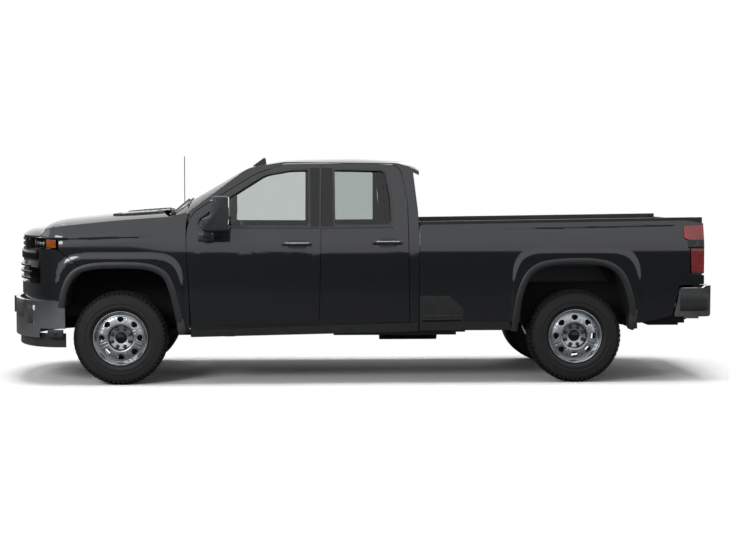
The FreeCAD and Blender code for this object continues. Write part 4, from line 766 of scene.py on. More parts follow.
# %% Tyre carcass
TYRE_RADIUS, TYRE_HALF, RIM_HALF = 0.4215, 0.1375, 0.112
WALL_RADIUS, WALL_ROUNDNESS, TREAD_DEPTH = 0.335, 0.42, 0.011


def spun(name, profile, steps):
    """Turns a closed (radius, y) profile round the Y axis."""
    bpy.ops.mesh.primitive_circle_add(vertices=len(profile), radius=1)
    piece = added(name)
    for vertex, (radius, y) in zip(piece.data.vertices, profile):
        vertex.co = (0, y, radius)

    def turn():
        bpy.ops.mesh.spin(steps=steps, angle=2 * math.pi, center=(0, 0, 0), axis=(0, 1, 0))
        bpy.ops.mesh.select_all(action="SELECT")
        bpy.ops.mesh.remove_doubles(threshold=0.0001)

    return reworked(piece, turn)


def tyre_profile():
    """The carcass from bead to bead, with moulded rings on its outer side."""
    floor_radius = TYRE_RADIUS - TREAD_DEPTH
    half = []
    for index in range(13):
        angle = math.pi / 2 * index / 12
        y = math.sin(angle) ** WALL_ROUNDNESS * (TYRE_HALF - 0.004)
        radius = WALL_RADIUS + (floor_radius - WALL_RADIUS) * math.cos(angle) ** WALL_ROUNDNESS
        half.append((radius, y))
    wall = [(0.322, TYRE_HALF - 0.001), (0.316, TYRE_HALF - 0.001), (0.313, TYRE_HALF - 0.004),
            (0.296, TYRE_HALF - 0.005), (0.284, TYRE_HALF - 0.002), (0.276, TYRE_HALF - 0.004),
            (0.262, TYRE_HALF - 0.014), (0.252, TYRE_HALF - 0.027), (0.249, RIM_HALF - 0.004),
            (0.236, RIM_HALF - 0.012)]
    right = half + wall
    left = [(radius, -y) for radius, y in right]
    return right + left[:0:-1]


carcass = spun("tyre_carcass", tyre_profile(), 72)
told(carcass)

# %% [markdown]
# A highway tyre for a heavy truck has five ribs of blocks, cut by zigzag grooves, with
# shoulder lugs that wrap over the edge. Each block is a box with its outer face drawn in a
# little, and the row is copied round the tyre.

# %% Tread blocks
PITCHES = 58
SHOULDER_FROM, SHOULDER_DROP, LUG_FROM_Y, BLOCK_ROOT = 0.70, 0.0105, 0.115, 0.012


def tread_block(name, y_low, y_high, share_low, share_high, slant=0.0, drop=0.0):
    """A block of rubber between two places across the tread and two shares of one pitch."""
    bpy.ops.mesh.primitive_cube_add(size=1)
    piece = added(name)
    pitch = 2 * math.pi / PITCHES
    for vertex in piece.data.vertices:
        across = y_low if vertex.co.y < 0 else y_high
        share = share_low if vertex.co.x < 0 else share_high
        angle = (share + slant * (1 if vertex.co.y > 0 else -1)) * pitch
        edge = max(abs(across) / TYRE_HALF - SHOULDER_FROM, 0)
        top = TYRE_RADIUS - SHOULDER_DROP * edge / 0.3 - drop * (abs(across) > LUG_FROM_Y)
        radius = top if vertex.co.z > 0 else TYRE_RADIUS - TREAD_DEPTH - BLOCK_ROOT
        vertex.co = (radius * math.sin(angle), across, radius * math.cos(angle))
    return piece


row = []
for y_low, y_high, start, slant in ((-0.018, 0.018, 0.08, 0.10), (0.024, 0.058, 0.30, -0.10),
                                    (-0.058, -0.024, 0.30, -0.10), (0.064, 0.094, 0.10, 0.08),
                                    (-0.094, -0.064, 0.10, 0.08)):
    row.append(tread_block("rib_block", y_low, y_high, start, start + 0.80, slant))
for side in (-1, 1):
    for name, near, far, start, stop, drop in (("shoulder_lug", 0.099, 0.1345, 0.22, 0.80, 0.012),
                                               ("wall_lug", 0.1345, 0.1372, 0.30, 0.72, 0.022)):
        row.append(tread_block(name, *sorted((side * near, side * far)), start, stop, 0.0, drop))
pitch_row = joined("tread_pitch", row)
rows = [copied(pitch_row, "tread_%02d" % index, Matrix.Rotation(2 * math.pi * index / PITCHES, 4, "Y"))
        for index in range(PITCHES)]
bpy.data.objects.remove(pitch_row)
tyre = joined("tyre_model", [carcass, joined("tread", rows)])
told(tyre)

# %% [markdown]
# The wheel is one pressed and spun steel shape: a deep barrel with a bright lip, a dished
# face with eight windows, and a bowl in the middle for the nuts. It is spun from its
# section first. The windows are then cut through the face, and a pair of raised ridges is
# laid between neighbouring windows, as the press leaves them.

# %% Wheel rim and face
rim_profile = [
    (0.196, 0.070), (0.222, 0.106), (0.246, 0.112), (0.246, 0.106), (0.2317, 0.100), (0.2317, 0.072),
    (0.210, 0.052), (0.210, -0.042), (0.2317, -0.062), (0.2317, -0.100), (0.240, -0.104), (0.246, -0.108),
    (0.2475, -0.113), (0.245, -0.117), (0.240, -0.117), (0.236, -0.113), (0.228, -0.100), (0.220, -0.088),
    (0.214, -0.078), (0.209, -0.072), (0.204, -0.073), (0.198, -0.078), (0.186, -0.083), (0.160, -0.086),
    (0.135, -0.087), (0.121, -0.088), (0.116, -0.086), (0.113, -0.080), (0.109, -0.060), (0.103, -0.051),
    (0.052, -0.050), (0.050, -0.030), (0.100, -0.030), (0.116, -0.040), (0.122, -0.066), (0.160, -0.070),
    (0.196, -0.060)]
rim = spun("rim_model", rim_profile, 96)

HOLES, HOLE_RADIUS, HOLE_CIRCLE = 8, 0.028, 0.170


def bar_along_y(name, vertices, radius, depth):
    """A round or many-sided bar along the axle."""
    bpy.ops.mesh.primitive_cylinder_add(vertices=vertices, radius=radius, depth=depth,
                                        rotation=(math.pi / 2, 0, 0))
    return settle(added(name))


def turned(piece, number):
    """Turns a piece about the axle to its place among the eight."""
    piece.data.transform(Matrix.Rotation(number * 2 * math.pi / HOLES, 4, "Y"))
    return piece


cutters = []
for index in range(HOLES):
    cutter = bar_along_y("window_cutter", 20, HOLE_RADIUS, 0.12)
    for vertex in cutter.data.vertices:
        vertex.co.x *= 1.06 * (1 + 9 * max(vertex.co.z, -0.02))
        vertex.co.z = vertex.co.z * 0.90 + HOLE_CIRCLE
    cutter.data.transform(Matrix.Translation((0, -0.075, 0)))
    cutters.append(turned(cutter, index))
carved(rim, joined("window_cutters", cutters))
modify(rim, "BEVEL", width=0.002, segments=2, limit_method="ANGLE", angle_limit=math.radians(50))
told(rim)

# %% [markdown]
# Two ridges stand between neighbouring windows, wider apart at the rim. Each is a bevelled
# box whose points are moved to the face's slope, turned to its place among the eight.

# %% Ridges of the wheel's face
RIDGE_LENGTH, RIDGE_OFFSET, NUT_CIRCLE = 0.084, 0.0125, 0.085
ridges = []
for index in range(HOLES):
    for offset in (-RIDGE_OFFSET, RIDGE_OFFSET):
        bpy.ops.mesh.primitive_cube_add(size=1)
        ridge = added("ridge")
        ridge.scale = (0.011, 0.016, RIDGE_LENGTH)
        modify(settle(ridge), "BEVEL", width=0.0052, segments=3)
        for vertex in ridge.data.vertices:
            share = (vertex.co.z + RIDGE_LENGTH / 2) / RIDGE_LENGTH
            vertex.co.x = vertex.co.x + offset * (1 + 0.45 * share)
            vertex.co.z += 0.160
            vertex.co.y += -0.081 + 0.007 * max(share - 0.75, 0) * 4
        ridges.append(turned(ridge, index + 0.5))
rim = joined("rim_model", [rim] + ridges)
told(rim)

# %% [markdown]
# Eight nuts on washers stand in the bowl, round a plain cap. A nut is a six-sided bar and
# a washer a round one. They are pieces of their own, so that they can be swapped.

# %% Lug nuts
nuts = []
for index in range(HOLES):
    pair = []
    for name, vertices, radius, depth, bevel, y in (("lug_nut", 6, 0.0135, 0.030, 0.002, -0.060),
                                                    ("nut_washer", 20, 0.019, 0.006, 0.0015, -0.052)):
        item = modify(bar_along_y(name, vertices, radius, depth), "BEVEL", width=bevel, segments=2)
        item.data.transform(Matrix.Translation((0, y, NUT_CIRCLE)))
        pair.append(item)
    nuts.append(turned(joined("nut_pair", pair), index + 0.5))
nuts = joined("lug_nuts_model", nuts)
told(nuts)

# %% [markdown]
# The cap, the hub and the brake disc behind the windows are all turned parts, so each is
# spun from half of its section. The disc is drawn as one ring with its air gap.

# %% Hub cap, hub and brake disc
cap_profile = [(0.0005, -0.082), (0.022, -0.082), (0.034, -0.079), (0.040, -0.072), (0.043, -0.058),
               (0.047, -0.050), (0.050, -0.044), (0.0005, -0.040)]
cap = spun("hub_cap_model", cap_profile, 40)
hub = spun("hub_model", [(0.0005, -0.045), (0.070, -0.040), (0.072, 0.086), (0.0005, 0.088)], 32)
disc_profile = [(0.060, 0.052), (0.100, 0.046), (0.178, 0.046), (0.178, 0.060), (0.166, 0.062),
                (0.166, 0.070), (0.178, 0.072), (0.178, 0.086), (0.060, 0.086)]
hub = joined("hub_and_disc_model", [hub, spun("brake_disc_model", disc_profile, 48)])
told(cap, hub)

# %% [markdown]
# The four wheels are the same parts, so one set is modelled and copied to each corner.
# The right-hand ones are turned half a turn, so that their faces look outwards too.

# %% Put a wheel at each corner
WHEEL_ANGLE = 30
WHEEL_PARTS = ((tyre, "tyre", tyre_rubber), (rim, "rim", wheel_silver), (nuts, "lug_nuts", brake_iron),
               (cap, "hub_cap", gloss_black), (hub, "hub", brake_iron))
for axle, axle_x in (("front", FRONT_AXLE_X), ("rear", REAR_AXLE_X)):
    for side, sign in (("left", -1), ("right", 1)):
        place = Matrix.Translation((axle_x, sign * TRACK_HALF, AXLE_Z))
        if sign > 0:
            place = place @ Matrix.Rotation(math.pi, 4, "Z")
        for model, stem, material in WHEEL_PARTS:
            part = copied(model, "%s_%s_%s" % (stem, axle, side), place)
            finish(part, material, "%s_wheel_%s" % (axle, side), WHEEL_ANGLE)
            if stem == "tyre":
                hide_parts("tyre_%s_%s" % (axle, side))
            elif stem == "rim":
                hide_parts("wheel_%s_%s" % (axle, side))
for model, _, _ in WHEEL_PARTS:
    bpy.data.objects.remove(model)

# %% [markdown]
# A fender is one pressed sheet. Its edge creases and the hollow behind the headlamp only
# look sharp where the surface is fine, so the sheet is drawn again as a dense grid on the
# same formula, given its thickness, and cut to its outline and wheel arch.

# %% Wheel arch line
def arch_line(points):
    """A smooth open line through (x, z) places, by a spline read at even steps."""
    curve = bpy.data.curves.new("arch_line", "CURVE")
    curve.resolution_u = 6
    spline = curve.splines.new("NURBS")
    spline.points.add(len(points) - 1)
    for control, (x, z) in zip(spline.points, points):
        control.co = (x, 0, z, 1)
    spline.order_u = 3
    spline.use_endpoint_u = True
    holder = bpy.data.objects.new("arch_line", curve)
    mesh = bpy.data.meshes.new_from_object(holder)
    line = [Vector((vertex.co.x, vertex.co.z)) for vertex in mesh.vertices]
    bpy.data.objects.remove(holder)
    bpy.data.curves.remove(curve)
    return line


FRONT_ARCH = arch_line([(-2.663, 0.70), (-2.655, 0.80), (-2.610, 0.930), (-2.545, 1.010), (-2.420, 1.048),
                        (-2.200, 1.056), (-1.960, 1.050), (-1.830, 1.010), (-1.765, 0.940), (-1.722, 0.800),
                        (-1.690, 0.650), (-1.655, 0.480)])
REAR_ARCH = arch_line([(1.412, 0.47), (1.432, 0.66), (1.470, 0.86), (1.545, 1.000), (1.660, 1.062),
                       (1.900, 1.082), (2.150, 1.078), (2.290, 1.030), (2.365, 0.930), (2.412, 0.78),
                       (2.440, 0.64), (2.452, 0.49)])


def beside(line, u, distance):
    """The place at a share of an open line, moved off it by a distance."""
    index = min(int(round(u * (len(line) - 1))), len(line) - 1)
    ahead, back = line[min(index + 1, len(line) - 1)], line[max(index - 1, 0)]
    tangent = (ahead - back).normalized()
    return line[index] + Vector((-tangent.y, tangent.x)) * distance


def cut_to(piece, outline, arch):
    """Trims a side sheet to an outline, and cuts the wheel arch out of it."""
    carved(piece, prism("outline_tool", outline, CUT_OUT_Y, CUT_IN_Y), "INTERSECT")
    arch_outline = list(arch) + [Vector((arch[-1].x + 0.01, 0.2)), Vector((arch[0].x - 0.01, 0.2))]
    return carved(piece, prism("arch_tool", arch_outline, CUT_OUT_Y, CUT_IN_Y))


def side_sheet(name, x_range, z_range, step, thickness):
    """A dense grid on the body's side with its thickness."""
    columns = int((x_range[1] - x_range[0]) / step)
    rows = int((z_range[1] - z_range[0]) / step)

    def place_at(u, v):
        return on_side(between(*x_range, u), between(*z_range, v), 0)

    piece = plate(name, columns, rows, place_at)
    return thickened(piece, piece.data.polygons[0].normal.y > 0, thickness)

# %% [markdown]
# The fender's outline follows the hood's edge, the door's edge and the lamp, and is cut
# by the arch line.

# %% Front fenders
HOOD_LINE = [(-2.893, 1.345), (-2.852, 1.385), (-2.785, 1.415), (-2.673, 1.436), (-2.447, 1.459),
             (-2.233, 1.480), (-2.107, 1.490), (-1.732, 1.516)]
fender_outline = rounded([(x, z, 0.01) for x, z in HOOD_LINE] + [
    (-1.640, 1.540, 0.06), (-1.5705, 1.556, 0.02), (-1.5865, 1.440, 0.3), (-1.5845, 1.260, 0.4),
    (-1.566, 0.900, 0.9), (-1.5525, 0.482, 0.01), (-1.700, 0.470, 0), (-2.514, 0.740, 0), (-2.514, 1.064, 0),
    (-2.716, 1.224, 0.006), (-2.712, 1.306, 0.006), (-2.893, 1.334, 0)], 6)
fender = side_sheet("fender_skin", (-2.895, -1.540), (0.46, 1.57), 0.011, 0.012)
fenders = both_sides(cut_to(fender, fender_outline, FRONT_ARCH), car_paint, angle=ROUND_ANGLE)
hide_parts("fender_left")
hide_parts("fender_right")

# %% [markdown]
# The flares are moulded strips with a rolled outer edge: they rise from the panel over a
# few millimetres, run nearly flat, and turn in over the arch's edge. One profile is swept
# along the arch line, so the highlight on the rolled edge is even all the way round.

# %% Wheel flares
def flare(name, line, width, tuck, stand):
    """A moulded strip along an arch line: width over the panel, tuck into the arch, stand proud."""
    profile = [(width, -0.004), (width - 0.001, stand * 0.75), (width - 0.008, stand),
               (width * 0.55, stand * 1.04), (0.012, stand), (0.003, stand * 0.7), (0.0, 0.0),
               (0.0, -tuck * 0.5), (0.0, -tuck)]

    def place_at(u, v):
        out, lift = profile[int(round(v * (len(profile) - 1)))]
        place = beside(line, u, out)
        return on_side(place.x, place.y, lift)

    piece = outward(plate(name, len(line) - 1, len(profile) - 1, place_at))
    return thickened(piece, faces_right(piece), 0.004)


strips = [flare(name, line, 0.060, 0.060, 0.016) for name, line in (("front_flare", FRONT_ARCH),
                                                                    ("rear_flare", REAR_ARCH))]
guard = prism("mud_guard", rounded([(2.440, 0.660, 0.01), (2.515, 0.665, 0.01), (2.500, 0.560, 0.02),
                                    (2.474, 0.480, 0.01), (2.440, 0.484, 0.02), (2.425, 0.560, 0.02)]),
              -1.052, -0.930)
modify(guard, "BEVEL", width=0.004, segments=2, limit_method="ANGLE")
foot = prism("flare_foot", rounded([(-1.660, 0.600, 0.01), (-1.606, 0.600, 0.01), (-1.588, 0.500, 0.012),
                                    (-1.600, 0.462, 0.01), (-1.650, 0.458, 0.01), (-1.668, 0.520, 0.01)]),
             -1.048, -0.960)
modify(foot, "BEVEL", width=0.004, segments=2, limit_method="ANGLE")
flares = joined("wheel_flare_set", strips + [guard, foot])
flare_pair = both_sides(flares, satin_plastic, angle=ROUND_ANGLE)
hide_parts("wheel_flares")

# %% [markdown]
# Behind each arch a felt or plastic liner keeps the wheel's spray out. It is an arched
# shell, a little larger than the opening, with a back wall towards the frame. It is swept
# along the same line as the flare, so that no gap can open between the two.

# %% Wheel liners
def liner(name, line, grow, y_out, y_in, wall):
    """An arched shell behind the arch line; its inner wall closes by the share given."""
    def place_at(u, v):
        place = beside(line, u, grow)
        y = y_out + (y_in - y_out) * min(v * 1.25, 1)
        if v > 0.9:
            place = place.lerp(Vector(((line[0].x + line[-1].x) / 2, 0.60)), wall)
        return Vector((place.x, y, place.y))

    piece = outward(plate(name, len(line) - 1, 10, place_at))
    return modify(piece, "SOLIDIFY", thickness=0.006, offset=0)


liners = joined("wheel_liner_set", [liner("front_liner", FRONT_ARCH, 0.018, -1.005, -0.485, 0.55),
                                    liner("rear_liner", REAR_ARCH, 0.018, -1.000, -0.640, 0.55)])
liner_pair = both_sides(liners, liner_felt, angle=ROUND_ANGLE)
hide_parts("wheel_liners")

# %% [markdown]
# Trims that lie on the sides are drawn from a few corners in (x, z) and laid on the body's
# formula: black bands round the glass, covers on the pillar between the doors, the belt
# strips, the door handles with their cups, the fuel door's gap, and painted shade in its notch.

# %% Patches on the side and on the nose
EDGE_SHARE = 0.3


def patch(name, corners, columns, rows, lift, thickness):
    """A sheet on the body's side between four (x, z) corners, from the low front one, rearwards and up."""
    low_front, low_rear, high_rear, high_front = [Vector(corner) for corner in corners]

    def place_at(u, v):
        point = low_front.lerp(low_rear, u).lerp(high_front.lerp(high_rear, u), v)
        return on_side(point.x, point.y, lift)

    piece = plate(name, columns, rows, place_at)
    return thickened(piece, piece.data.polygons[0].normal.y > 0, thickness, EDGE_SHARE)


def resampled(points, step):
    """The closed outline with its long edges split."""
    fine = []
    for index, point in enumerate(points):
        following = points[(index + 1) % len(points)]
        parts = max(int((following - point).length / step), 1)
        fine += [point.lerp(following, part / parts) for part in range(parts)]
    return fine


FRONT_WINDOW = resampled(rounded([(-1.492, 1.434, 0.022), (-1.474, 1.500, 0.060), (-1.186, 1.706, 0.5),
                                  (-0.880, 1.898, 0.3), (-0.640, 1.940, 0.060), (-0.478, 1.944, 0.018),
                                  (-0.478, 1.430, 0.012)]), 0.03)
REAR_WINDOW = resampled(rounded([(-0.250, 1.436, 0.012), (-0.250, 1.946, 0.018), (0.218, 1.938, 0.060),
                                 (0.262, 1.700, 0.2), (0.272, 1.440, 0.050)]), 0.03)

# %% [markdown]
# A moulded band frames each window, and gloss covers make the pillar between the doors
# look like one long pane. The belt strips below the glass are the rubber that wipes it.
# They could be cut into the doors, but thin sheets laid on the skin follow it without a cut.

# %% Window surrounds and pillar covers
for name, outline, body in (("front_window_band", FRONT_WINDOW, "front_door"),
                            ("rear_window_band", REAR_WINDOW, "rear_door")):
    both_sides(band_on_side(name, outline, -0.008, 0.015, 0.003, 0.012), satin_plastic, body)
for name, corners, columns, rows, lift, thickness, body, material in (
        ("front_pillar_cover", [(-0.466, 1.422), (-0.386, 1.422), (-0.378, 1.958), (-0.466, 1.958)],
         4, 20, 0.004, 0.003, "front_door", gloss_black),
        ("rear_pillar_cover", [(-0.370, 1.422), (-0.262, 1.422), (-0.262, 1.958), (-0.362, 1.958)],
         4, 20, 0.004, 0.003, "rear_door", gloss_black),
        ("rear_quarter_strip", [(0.205, 1.438), (0.274, 1.438), (0.222, 1.936), (0.196, 1.940)],
         3, 16, -0.014, 0.003, "rear_door", gloss_black),
        ("front_belt_strip", [(-1.500, 1.414), (-0.384, 1.412), (-0.384, 1.424), (-1.500, 1.427)],
         30, 2, 0.005, 0.004, "front_door", satin_plastic),
        ("rear_belt_strip", [(-0.372, 1.412), (0.285, 1.416), (0.285, 1.429), (-0.372, 1.424)],
         20, 2, 0.005, 0.004, "rear_door", satin_plastic)):
    both_sides(patch(name, corners, columns, rows, lift, thickness), material, body)

# %% [markdown]
# A handle is a bar on two feet over a cup. The cup is a thin rounded band set on the skin,
# and the bar's middle carries a bright insert. Boxes with rounded edges are enough for it,
# because only the highlights along its edges show.

# %% Door handles and fuel door
def handle(name, x_front, x_rear, z, body):
    """One pull handle with its cup and insert."""
    middle = (x_front + x_rear) / 2
    skin = side_half(middle, z)
    cup_line = rounded([(middle - 0.080, z - 0.042, 0.03), (middle + 0.085, z - 0.042, 0.03),
                        (middle + 0.085, z + 0.036, 0.03), (middle - 0.080, z + 0.036, 0.03)])
    cup = band_on_side(name + "_cup", resampled(cup_line, 0.02), -0.032, 0.003, 0.0015, 0.002)
    feet = []
    for start, stop in ((x_front, x_front + 0.050), (x_rear - 0.062, x_rear)):
        feet.append(rounded_box(name + "_foot", (start, -skin - 0.030, z - 0.013),
                                (stop, -skin + 0.004, z + 0.013), 0.006))
    bar = rounded_box(name + "_bar", (x_front, -skin - 0.046, z - 0.014), (x_rear, -skin - 0.026, z + 0.015),
                      0.007)
    both_sides(joined(name, [cup, bar] + feet), satin_plastic, body)
    insert = rounded_box(name + "_insert", (x_front + 0.03, -skin - 0.048, z + 0.004),
                         (x_rear - 0.03, -skin - 0.044, z + 0.012), 0.0015)
    both_sides(insert, bright_metal, body)


handle("front_handle", -0.723, -0.454, 1.272, "front_door")
handle("rear_handle", 0.095, 0.362, 1.284, "rear_door")
fuel_line = resampled(rounded([(0.607, 0.990, 0.02), (0.847, 0.990, 0.02), (0.847, 1.158, 0.02),
                               (0.607, 1.158, 0.02)]), 0.03)
fuel_gap = band_on_side("fuel_door_gap", fuel_line, -0.0022, 0.0022, 0.0006, 0.001)
finish(fuel_gap, satin_plastic)
# The dark sheet on the fuel door's finger notch is painted shade: it darkens the notch as shade would.
fuel_notch_painted_shade = patch("fuel_door_notch_painted_shade", [(0.832, 1.045), (0.853, 1.045), (0.853, 1.105), (0.832, 1.105)],
                    4, 6, 0.0015, 0.002)
finish(fuel_notch_painted_shade, satin_plastic)

# %% [markdown]
# The tow mirror has a tall head with a lower, wider foot, two arms and a base on the door.
# Its two glasses face the rear, and a clear strip on its outer side is the lamp. The head
# has nearly one outline all the way across, so it is extruded from that and bevelled.

# %% Mirrors
mirror_line = rounded([(-1.428, 1.396, 0.02), (-1.205, 1.394, 0.02), (-1.192, 1.50, 0.2),
                       (-1.194, 1.704, 0.025), (-1.345, 1.704, 0.035), (-1.352, 1.53, 0.03),
                       (-1.425, 1.505, 0.02)])
shell = prism("mirror_shell", mirror_line, -1.298, -1.152)
modify(shell, "BEVEL", width=0.014, segments=3, limit_method="ANGLE", angle_limit=math.radians(50))
mirror_base = rounded_box("mirror_base", (-1.475, -1.045, 1.294), (-1.335, -0.985, 1.370), 0.012)
arms = [rounded_box("mirror_arm", (-1.430, -1.180, 1.338), (-1.360, -1.020, 1.362), 0.008),
        rounded_box("mirror_post", (-1.420, -1.205, 1.340), (-1.350, -1.160, 1.420), 0.010)]
mirror = joined("mirror_model", [shell, mirror_base] + arms)
mirrors = both_sides(mirror, satin_plastic, "front_door")
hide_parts("mirror_left")
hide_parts("mirror_right")
glasses = [rounded_box("mirror_glass", (x, -1.288, low), (x + 0.007, -1.163, high), 0.002)
           for x, low, high in ((-1.196, 1.52, 1.695), (-1.199, 1.412, 1.500))]
both_sides(joined("mirror_glass", glasses), mirror_silver, "front_door")
both_sides(rounded_box("mirror_lamp", (-1.352, -1.290, 1.655), (-1.300, -1.301, 1.668), 0.003), lamp_lens,
           "front_door")

# %% [markdown]
# The bed's outer skin has one long crease with a hollow below it. It is drawn again as a
# fine sheet, 2.5 mm outside the solid, so that the crease catches an even light.

# %% Bed skins
BED_FRONT, BED_REAR = 0.5180, 3.1240
bed_line = rounded([
    (BED_FRONT + 0.0035, 0.566, 0), (BED_FRONT + 0.0015, 0.800, 0), (BED_FRONT + 0.0035, 1.438, 0.040),
    (BED_REAR - 0.170, 1.476, 0.2), (BED_REAR - 0.002, 1.451, 0.008), (BED_REAR - 0.002, 1.441, 0),
    (BED_REAR - 0.194, 1.430, 0.008), (BED_REAR - 0.190, 1.310, 0.008), (BED_REAR - 0.140, 1.288, 0.008),
    (BED_REAR - 0.132, 0.984, 0.008), (BED_REAR - 0.002, 0.979, 0), (BED_REAR - 0.002, 0.898, 0.010),
    (2.896, 0.889, 0), (2.831, 0.609, 0.060), (2.540, 0.548, 0), (2.150, 0.548, 0), (1.370, 0.563, 0)], 6)
bed_skin = side_sheet("bed_skin", (BED_FRONT - 0.004, BED_REAR + 0.004), (0.54, 1.49), 0.011, 0.002)
cut_to(bed_skin, bed_line, REAR_ARCH)
bed_skin.data.transform(Matrix.Translation((0, -0.0025, 0)))
both_sides(bed_skin, car_paint, angle=ROUND_ANGLE)

# %% [markdown]
# The nose is rounded in plan, the same curve for the bumper, the lamps and the grille, each
# with its own width and length. A place on it is given by a turn, which is 0 at the side
# and 90 degrees at the middle of the front, so a lamp or a bar is a patch between two turns.

# %% Patches on the nose and the rear bumper
def wrap_point(plan, turn, z, lift):
    """A place on a rounded end; plan is (half width, length, start x, power, way along x)."""
    half, length, start, power, way = plan
    along, across = math.sin(math.radians(turn)), math.cos(math.radians(turn))
    reach = (abs(across) ** power + abs(along) ** power) ** (-1 / power)
    normal = Vector((way * (abs(along) * reach) ** (power - 1) / length,
                     -math.copysign((abs(across) * reach) ** (power - 1), across) / half, 0)).normalized()
    return Vector((start + way * length * reach * along, -half * reach * across, z)) + normal * lift


def wrap_tube(name, plan, turn, z, low, high, radius):
    """A short round bar that stands on a rounded end between two lifts."""
    return tube(name, wrap_point(plan, turn, z, low), wrap_point(plan, turn, z, high), radius)


def wrap_patch(name, plan, turns, low, high, lift, thickness, columns):
    """A sheet on a rounded end between two turns and two heights."""
    def place_at(u, v):
        return wrap_point(plan, between(*turns, u), between(low, high, v), lift)

    piece = plate(name, columns, 3, place_at)
    first = piece.data.polygons[0]
    inwards = first.normal.dot(Vector((first.center.x - plan[2], first.center.y, 0))) < 0
    return thickened(piece, inwards, thickness, EDGE_SHARE)


BUMPER = (1.040, 0.572, NOSE_START_X, 2.2, -1)
GRILLE = (1.020, 0.494, NOSE_START_X, 2.2, -1)
LAMP = (1.024, 0.488, NOSE_START_X, 2.2, -1)
CORNER = (1.036, 0.490, NOSE_START_X, 2.2, -1)
REAR = (1.022, 0.404, 2.856, 6, 1)

# %% [markdown]
# The bumper has a slot and an inlet on each side, a dark lower corner and a parking
# sensor. The real ones are openings in the pressed steel with black mouldings in them. Dark
# sheets on the same curve look the same wherever the whole truck is in view, and leave the
# chrome's curve unbroken. A dark backing stands behind the middle air slot.

# %% Front bumper
slot = wrap_patch("bumper_slot", BUMPER, (30.4, 37.8), 0.555, 0.715, 0.0015, 0.003, 8)
inlet = wrap_patch("bumper_inlet", BUMPER, (44.0, 60.0), 0.600, 0.762, 0.0015, 0.003, 16)
corner_skin = wrap_patch("bumper_corner", BUMPER, (1.5, 16.0), 0.432, 0.508, 0.004, 0.008, 14)
both_sides(joined("bumper_insets", [slot, inlet, corner_skin]), satin_plastic)
both_sides(wrap_patch("bumper_slot_edge", BUMPER, (29.3, 30.6), 0.548, 0.722, 0.006, 0.006, 4), chrome_plate)
both_sides(wrap_tube("bumper_sensor", BUMPER, 8.5, 0.472, 0.001, 0.008, 0.013), gloss_black)

backing = rounded_box("air_slot_backing", (-3.050, -0.360, 0.440), (-3.020, 0.360, 0.700), 0.004)
finish(backing, satin_plastic)

# %% [markdown]
# Dark bars cross the grille from lamp to lamp. They are deep sheets on the nose's curve, so
# that they cast a shadow on the grille behind them, as the real mouldings do.

# %% Grille bars
bars = [wrap_patch("grille_top_bar", CORNER, (30.6, 149.4), 1.135, 1.213, 0.016, 0.016, 80)]
bars += [wrap_patch("grille_bar", GRILLE, (38.0, 142.0), z - 0.013, z + 0.013, 0.024, 0.030, 70)
         for z in (0.958, 1.016, 1.074)]
finish(joined("grille_bars", bars), gloss_black, angle=ROUND_ANGLE)

# %% [markdown]
# A lamp is a dark well with bright optics under a clear lens. The lens alone would look
# like an empty pane, and the depth between the two is what makes it read as a lamp.

# %% Corner lamps
both_sides(wrap_patch("corner_lamp_well", CORNER, (27.8, 43.8), 0.918, 1.118, 0.003, 0.003, 14), gloss_black)
cups = [wrap_tube("corner_lamp_cup", CORNER, 35.5, z, 0.002, 0.009, 0.021) for z in (0.955, 1.015, 1.075)]
cups.append(wrap_patch("corner_lamp_strip", CORNER, (41.6, 43.0), 0.925, 1.110, 0.009, 0.004, 4))
both_sides(joined("corner_lamp_cups", cups), bright_metal)
both_sides(wrap_patch("corner_lamp_lens", CORNER, (28.0, 43.6), 0.920, 1.116, 0.014, 0.003, 14), lamp_lens)

# %% [markdown]
# The headlamps have three projectors and a light strip in a dark well, with an amber end
# towards the fender. Their clear cover is the CAD solid itself.

# %% Headlamps
both_sides(wrap_patch("headlamp_well", LAMP, (9.5, 51.0), 1.232, 1.322, -0.020, 0.050, 40), gloss_black)
strips = [wrap_patch("headlamp_strip", LAMP, (22.0, 35.5), 1.236, 1.243, -0.006, 0.010, 14),
          wrap_patch("headlamp_strip", LAMP, (34.6, 35.8), 1.236, 1.312, -0.006, 0.010, 4)]
strips += [wrap_tube("headlamp_projector", LAMP, turn, 1.272, -0.018, -0.004, 0.022)
           for turn in (24.5, 28.5, 31.8)]
both_sides(joined("headlamp_optics", strips), bright_metal)
both_sides(wrap_patch("headlamp_amber", LAMP, (9.6, 20.5), 1.240, 1.312, -0.008, 0.012, 12), amber_lens)

# %% [markdown]
# The tail lamps are red solids with a dark window and two clear ones. The rear bumper has
# a dark insert at each corner. All are thin sheets on the curve of what carries them, which
# keeps the solids' outlines as they are.

# %% Tail lamps and rear bumper
both_sides(patch("tail_lamp_dark", [(2.972, 1.225), (3.121, 1.225), (3.121, 1.303), (2.962, 1.303)],
                 8, 6, 0.003, 0.004), gloss_black)
clear = [patch("tail_lamp_clear", corners, *grid) for corners, grid in (
    ([(3.040, 1.240), (3.080, 1.240), (3.080, 1.286), (3.040, 1.286)], (4, 4, 0.006, 0.004)),
    ([(3.004, 0.996), (3.121, 0.994), (3.121, 1.010), (3.004, 1.011)], (8, 2, 0.003, 0.004)))]
both_sides(joined("tail_lamp_clear", clear), lamp_lens)
both_sides(wrap_patch("rear_bumper_insert", REAR, (7.0, 40.0), 0.650, 0.800, 0.002, 0.004, 30), satin_plastic)

# %% [markdown]
# The hood carries a long black vent on each side with a bright strip on it. They follow the
# hood's crown, so each point is dropped on the solid hood by a ray from above. A shrinkwrap
# modifier could do that too, but a ray keeps the sheet's even rows and columns.

